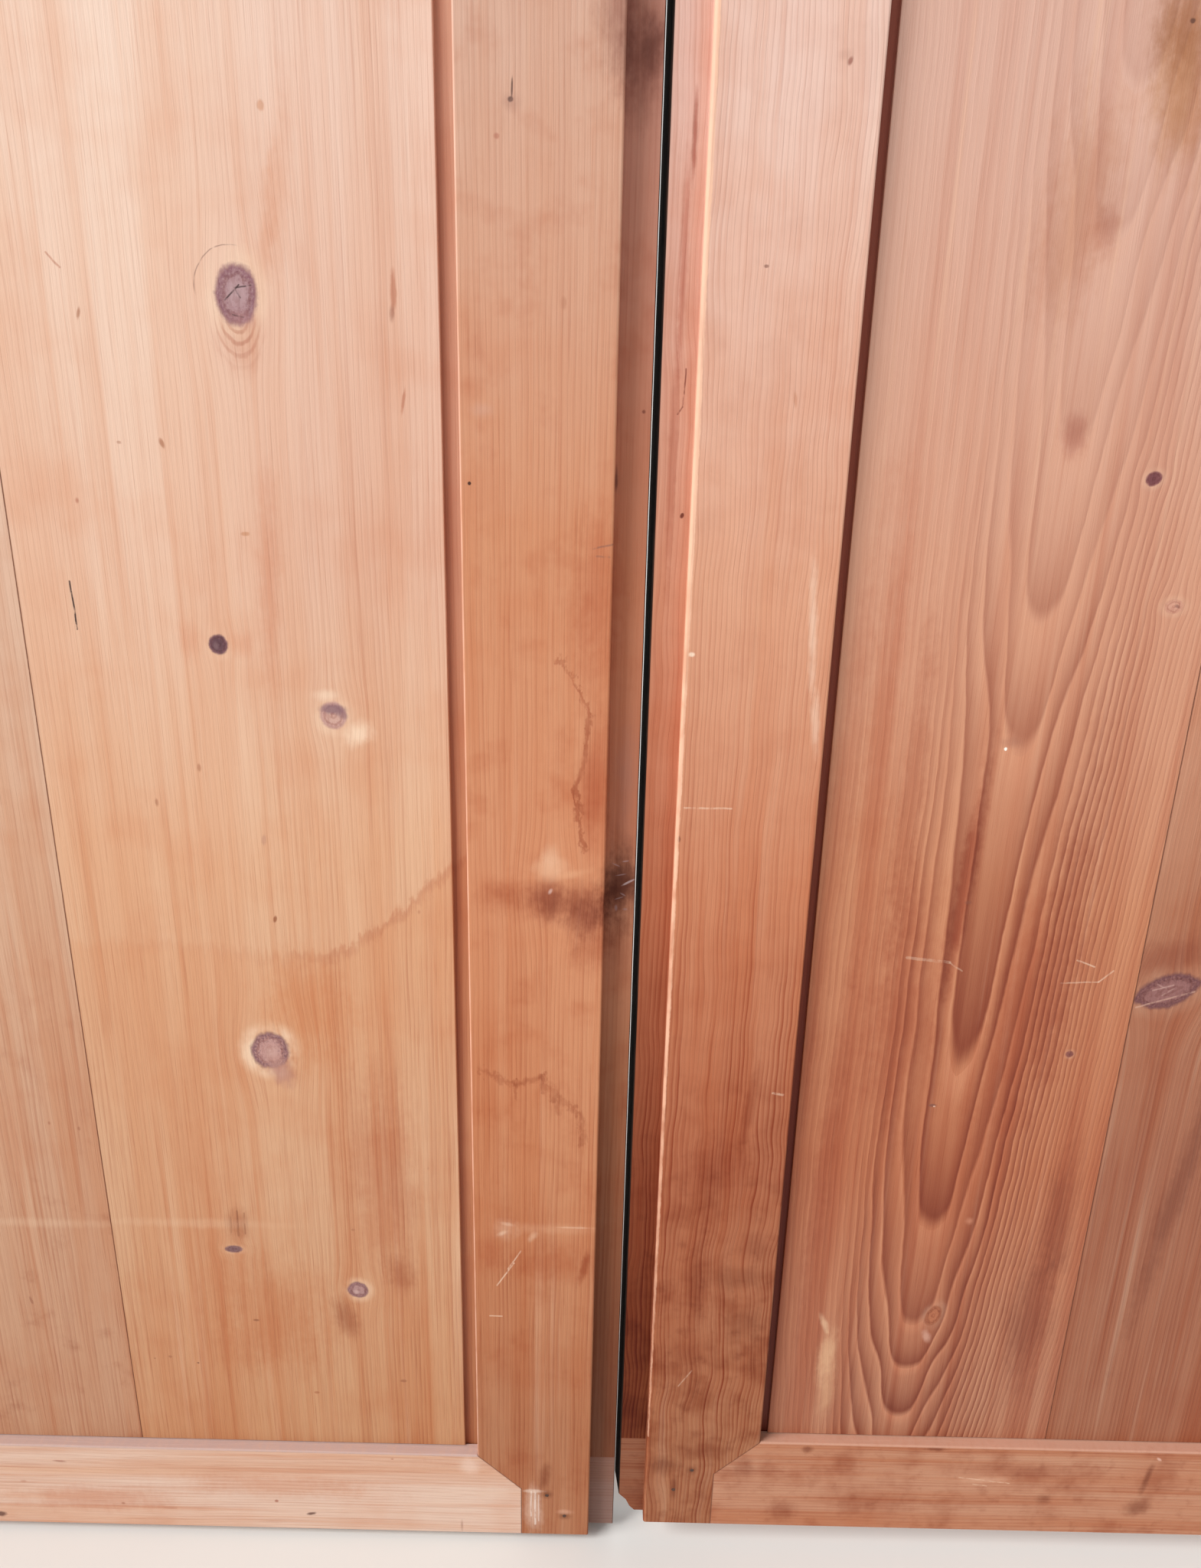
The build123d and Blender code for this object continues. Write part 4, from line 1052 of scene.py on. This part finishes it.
def right_bottom_rail():
    blot = tone(150, 98, 82)
    return rail("right bottom rail pine", 1, (tone(194, 142, 113),) * 5, (-90.0, 40.0), 53.0, 0.5, (
        Mark(111, 95, 10, 12, tone(180, 130, 112), 0.5),
        Mark(167.4, 119.6, 5, 3.4, blot, 0.6, 0.8),
        Mark(279.2, 123.2, 10, 2.4, blot, 0.6, 0.8),
        Mark(384.3, 66, 7, 6, blot, 0.5),
        Mark(350, 100, 60, 8, tone(200, 150, 130), 0.4),
        Mark(148.8, 46, 13, 12, tone(186, 136, 116), 0.5, 0.9, 30),
        Mark(471.5, 94, 3, 18, tone(150, 104, 90), 0.55, 0.8, 8),
        Mark(470, 58, 12, 10, tone(156, 110, 94), 0.55),
        Mark(230, 60, 40, 16, tone(206, 158, 134), 0.4),
    ), (
        Mark(478.5, 117.1, 3, 1.4, tone(226, 184, 166), 0.7, 0.6, 40),
        Mark(328.6, 88, 22, 3, tone(222, 176, 148), 0.4, 0.9, -4),
    ), (
        Scratch((305, 90), (350, 84), 0.3, PALE_RUB, 0.35),
        Scratch((318, 82), (330, 80), 0.3, PALE_RUB, 0.3),
    ), tone(196, 148, 126), tone(196, 178, 168))


def plain_upright(name, tones, pith, seed):
    f = Pine(name)
    f.rings((pith, 70.0), 3.2, waver=9.0)
    colour = f.wood(tones, seed, 0.5)
    return f.timber(f.flecks(colour, seed, 0.92), 0.3)


def old_steel():
    f = Finish("old hinge steel")
    x, y, z = f.places()
    broad = f.noise(x * 0.12, y * 0.12, z * 0.12, 4.0, 0.6)
    fine = f.noise(x * 0.9, y * 0.9, z * 0.9, 3.0, 0.6)
    rust = (broad + fine * 0.35).fade(0.62, 0.8)
    colour = f.blend(fine.fade(0.3, 0.7), tone(84, 74, 66), tone(112, 98, 86))
    colour = f.blend(rust * 0.8, colour, tone(112, 66, 40))
    height = fine * 0.6 + rust * 0.6
    rough = rust.fade_straight(0.0, 1.0, 0.42, 0.78)
    return f.close(colour, rough, 0.5, height, 0.0002, rust.fade_straight(0.0, 1.0, 0.85, 0.1))


def nail_iron():
    f = Finish("nail iron")
    x, y, z = f.places()
    fine = f.noise(x * 1.2, y * 1.2, z * 1.2, 3.0, 0.6)
    colour = f.blend(fine.fade(0.3, 0.7), tone(60, 44, 42), tone(104, 76, 64))
    return f.close(colour, 0.75, 0.4, fine, 0.0002, 0.3)


def dress(node, material):
    for slot in nodes[node].material_slots:
        slot.material = material


LEFT_TONES = (tone(190, 130, 98), tone(202, 142, 108), tone(212, 152, 116), tone(218, 164, 132), tone(226, 182, 158))
RIGHT_TONES = (tone(172, 110, 80), tone(184, 122, 90), tone(196, 134, 102), tone(212, 158, 130), tone(228, 186, 164))
FRAME_TONES = (tone(178, 124, 90), tone(188, 136, 100), tone(198, 146, 110), tone(206, 158, 124), tone(214, 170, 138))

dress("left_inner_board", left_inner_board())
dress("left_outer_board", left_outer_board())
dress("right_inner_board", right_inner_board())
dress("right_outer_board", right_outer_board())
dress("left_meeting_stile", left_meeting_stile())
dress("right_meeting_stile", right_meeting_stile())
dress("left_hinge_stile", plain_upright("left hinge stile pine", LEFT_TONES, -560.0, 41.0))
dress("right_hinge_stile", plain_upright("right hinge stile pine", RIGHT_TONES, 560.0, 43.0))
dress("left_bottom_rail", left_bottom_rail())
dress("right_bottom_rail", right_bottom_rail())
dress("left_top_rail", rail("left top rail pine", 0, LEFT_TONES, (1900.0, 40.0), 55.0))
dress("right_top_rail", rail("right top rail pine", 0, RIGHT_TONES, (2080.0, 40.0), 57.0))
jamb_pine = plain_upright("jamb pine", FRAME_TONES, 900.0, 61.0)
head_pine = rail("head pine", 0, FRAME_TONES, (2120.0, 40.0), 63.0)
dress("left_jamb", jamb_pine)
dress("right_jamb", jamb_pine)
dress("head", head_pine)
dress("head_pegs", head_pine)
steel = old_steel()
for name in nodes:
    if name.endswith(("flap", "pin", "screws")):
        dress(name, steel)
nails = nail_iron()
dress("left_corner_nails", nails)
dress("right_corner_nails", nails)


# Slotted countersunk screws of the hinge flaps.

HINGE_HEIGHTS = (250.0, 1000.0, 1750.0)
LEAF_SCREW_FACE = 792.3
FRAME_SCREW_FACE = 795.3
SCREW_SPOTS = ((-36.0, -31.75), (0.0, -21.75), (36.0, -31.75))
SCREW_SIZES = (("Head Radius", 4.0), ("Head Depth", 2.0), ("Shank Radius", 2.0), ("Length", 28.0),
               ("Slot Width", 1.1), ("Slot Depth", 0.9))


def screw_tree():
    """Stands a slotted countersunk screw on every point, each turned by chance."""
    tree = bpy.data.node_groups.new("countersunk screws", "GeometryNodeTree")
    tree.interface.new_socket("Geometry", in_out="INPUT", socket_type="NodeSocketGeometry")
    for label, size in SCREW_SIZES:
        tree.interface.new_socket(label, in_out="INPUT", socket_type="NodeSocketFloat")
    tree.interface.new_socket("Facing", in_out="INPUT", socket_type="NodeSocketVector")
    tree.interface.new_socket("Seed", in_out="INPUT", socket_type="NodeSocketInt")
    tree.interface.new_socket("Finish", in_out="INPUT", socket_type="NodeSocketMaterial")
    tree.interface.new_socket("Geometry", in_out="OUTPUT", socket_type="NodeSocketGeometry")
    f = Finish("countersunk screws", tree)
    given = f.add("NodeGroupInput").outputs
    end = f.add("NodeGroupOutput")
    size = {label: Measure(f, given[label]) for label, _ in SCREW_SIZES}
    length = size["Length"]
    tip = size["Shank Radius"] * 2.0

    def cone(bottom, top, depth, base):
        """A closed cone or drum standing on the height named base."""
        node = f.add("GeometryNodeMeshCone")
        node.inputs["Vertices"].default_value = 28
        f.feed(node.inputs["Radius Bottom"], bottom)
        f.feed(node.inputs["Radius Top"], top)
        f.feed(node.inputs["Depth"], depth)
        moved = f.add("GeometryNodeTransform")
        f.feed(moved.inputs["Geometry"], node.outputs["Mesh"])
        f.feed(moved.inputs["Translation"], f.joined(0.0, 0.0, base))
        return moved.outputs[0]

    head = cone(size["Shank Radius"], size["Head Radius"], size["Head Depth"], size["Head Depth"] * -1.0)
    slot = f.add("GeometryNodeMeshCube")
    f.feed(slot.inputs["Size"], f.joined(size["Head Radius"] * 2.4, size["Slot Width"], size["Slot Depth"] * 2.0))
    cut = f.add("GeometryNodeMeshBoolean", operation="DIFFERENCE")
    f.feed(cut.inputs[0], head)
    f.feed(cut.inputs[1], slot.outputs["Mesh"])
    shank_top = size["Head Depth"] * -0.8
    shank = cone(size["Shank Radius"] * 0.96, size["Shank Radius"] * 0.96, length + shank_top - tip, tip - length)
    point = cone(size["Shank Radius"] * 0.1, size["Shank Radius"] * 0.95, tip, length * -1.0)
    whole = f.add("GeometryNodeJoinGeometry")
    for part in (cut.outputs["Mesh"], shank, point):
        f.tree.links.new(part, whole.inputs[0])
    turn = f.add("FunctionNodeRandomValue", data_type="FLOAT")
    turn.inputs[3].default_value = math.tau
    f.feed(turn.inputs["Seed"], given["Seed"])
    aim = f.add("FunctionNodeAlignRotationToVector", axis="Z")
    f.feed(aim.inputs["Vector"], given["Facing"])
    spin = f.add("FunctionNodeAxisAngleToRotation")
    spin.inputs["Axis"].default_value = (0.0, 0.0, 1.0)
    f.feed(spin.inputs["Angle"], turn.outputs[1])
    turned = f.add("FunctionNodeRotateRotation", rotation_space="LOCAL")
    f.feed(turned.inputs[0], aim.outputs[0])
    f.feed(turned.inputs[1], spin.outputs[0])
    points = f.add("GeometryNodeMeshToPoints")
    f.feed(points.inputs["Mesh"], given["Geometry"])
    stand = f.add("GeometryNodeInstanceOnPoints")
    f.feed(stand.inputs["Points"], points.outputs[0])
    f.feed(stand.inputs["Instance"], whole.outputs[0])
    f.feed(stand.inputs["Rotation"], turned.outputs[0])
    real = f.add("GeometryNodeRealizeInstances")
    f.feed(real.inputs[0], stand.outputs[0])
    finish = f.add("GeometryNodeSetMaterial")
    f.feed(finish.inputs["Geometry"], real.outputs[0])
    f.feed(finish.inputs["Material"], given["Finish"])
    f.feed(end.inputs[0], finish.outputs[0])
    return tree


def screws(node, body, across, facing, seed):
    """Replaces the plain screws of one body with slotted ones."""
    places = [(across * MM, y * MM, (middle + up) * MM) for middle in HINGE_HEIGHTS for up, y in SCREW_SPOTS]
    name = node.replace("screws", "slotted_screws")
    start = bpy.data.meshes.new(name + "_places")
    start.from_pydata(places, [], [])
    piece = bpy.data.objects.new(name, start)
    bpy.context.scene.collection.objects.link(piece)
    modifier = piece.modifiers.new("screws", "NODES")
    modifier.node_group = screw_nodes
    values = {label: size * MM for label, size in SCREW_SIZES}
    values.update({"Facing": (facing, 0.0, 0.0), "Seed": seed, "Finish": steel})
    for item in screw_nodes.interface.items_tree:
        if item.in_out == "INPUT" and item.name in values:
            modifier[item.identifier] = values[item.name]
    evaluated = piece.evaluated_get(bpy.context.evaluated_depsgraph_get())
    finished = bpy.data.meshes.new_from_object(evaluated)
    piece.modifiers.remove(modifier)
    piece.data = finished
    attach(piece, body)
    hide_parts(node)


screw_nodes = screw_tree()
for side, sign, seed in (("left", -1.0, 3), ("right", 1.0, 8)):
    screws(side + "_leaf_screws", side + "_leaf", sign * LEAF_SCREW_FACE, sign, seed)
    screws(side + "_frame_screws", "frame", sign * FRAME_SCREW_FACE, -sign, seed + 1)


# Floor, light and view.

# Each lamp: its turn from the front and its rise in degrees, how wide it shines from, and its strength.
LAMPS = (("key", -60.0, 36.0, 32.0, 3.3), ("back fill", 150.0, 40.0, 60.0, 1.1))
SENSOR = 36.0
FRAME_PIXELS = 2048.0
FOCAL_PIXELS = 1610.0
CAMERA_PLACE = (-0.0296, -0.85175, 1.052)
LOOKING_DOWN = 20.85
CAMERA_ROLL = 1.35


def pale_floor():
    mesh = bpy.data.meshes.new("floor")
    half = 15.0
    corners = [(-half, -half, 0.0), (half, -half, 0.0), (half, half, 0.0), (-half, half, 0.0)]
    mesh.from_pydata(corners, [], [(0, 1, 2, 3)])
    floor = bpy.data.objects.new("floor", mesh)
    bpy.context.scene.collection.objects.link(floor)
    f = Finish("pale floor")
    mesh.materials.append(f.close(tone(222, 220, 216), 0.8, 0.2))


def soft_light():
    scene = bpy.context.scene
    world = bpy.data.worlds.new("studio")
    scene.world = world
    world.use_nodes = True
    f = Finish("studio", world.node_tree)
    world.node_tree.nodes.clear()
    rays = f.add("ShaderNodeLightPath").outputs
    seen = f.number("MAXIMUM", Measure(f, rays["Is Camera Ray"]), Measure(f, rays["Is Glossy Ray"]))
    seen = f.number("MAXIMUM", seen, Measure(f, rays["Is Transmission Ray"]))
    light = f.add("ShaderNodeBackground")
    light.inputs["Color"].default_value = (0.97, 0.985, 1.0, 1.0)
    light.inputs["Strength"].default_value = 0.47
    pale = f.add("ShaderNodeBackground")
    pale.inputs["Color"].default_value = tone(238, 237, 234)
    pale.inputs["Strength"].default_value = 1.0
    mixed = f.add("ShaderNodeMixShader")
    f.feed(mixed.inputs[0], seen)
    f.tree.links.new(light.outputs[0], mixed.inputs[1])
    f.tree.links.new(pale.outputs[0], mixed.inputs[2])
    out = f.add("ShaderNodeOutputWorld")
    f.tree.links.new(mixed.outputs[0], out.inputs["Surface"])
    for name, turn, rise, softness, strength in LAMPS:
        lamp = bpy.data.lights.new(name, "SUN")
        lamp.energy = strength
        lamp.angle = math.radians(softness)
        holder = bpy.data.objects.new(name, lamp)
        scene.collection.objects.link(holder)
        turn, rise = math.radians(turn), math.radians(rise)
        towards = Vector((math.sin(turn) * math.cos(rise), -math.cos(turn) * math.cos(rise), math.sin(rise)))
        holder.rotation_euler = towards.to_track_quat("Z", "Y").to_euler()


def camera():
    scene = bpy.context.scene
    lens = bpy.data.cameras.new("camera")
    lens.lens = SENSOR * FOCAL_PIXELS / FRAME_PIXELS
    lens.sensor_width = SENSOR
    lens.clip_start = 0.01
    holder = bpy.data.objects.new("camera", lens)
    scene.collection.objects.link(holder)
    pitch = Matrix.Rotation(math.radians(90.0 - LOOKING_DOWN), 4, "X")
    roll = Matrix.Rotation(math.radians(CAMERA_ROLL), 4, "Z")
    holder.matrix_world = Matrix.Translation(CAMERA_PLACE) @ pitch @ roll
    scene.camera = holder


pale_floor()
soft_light()
camera()
bpy.context.scene.view_settings.view_transform = "Standard"
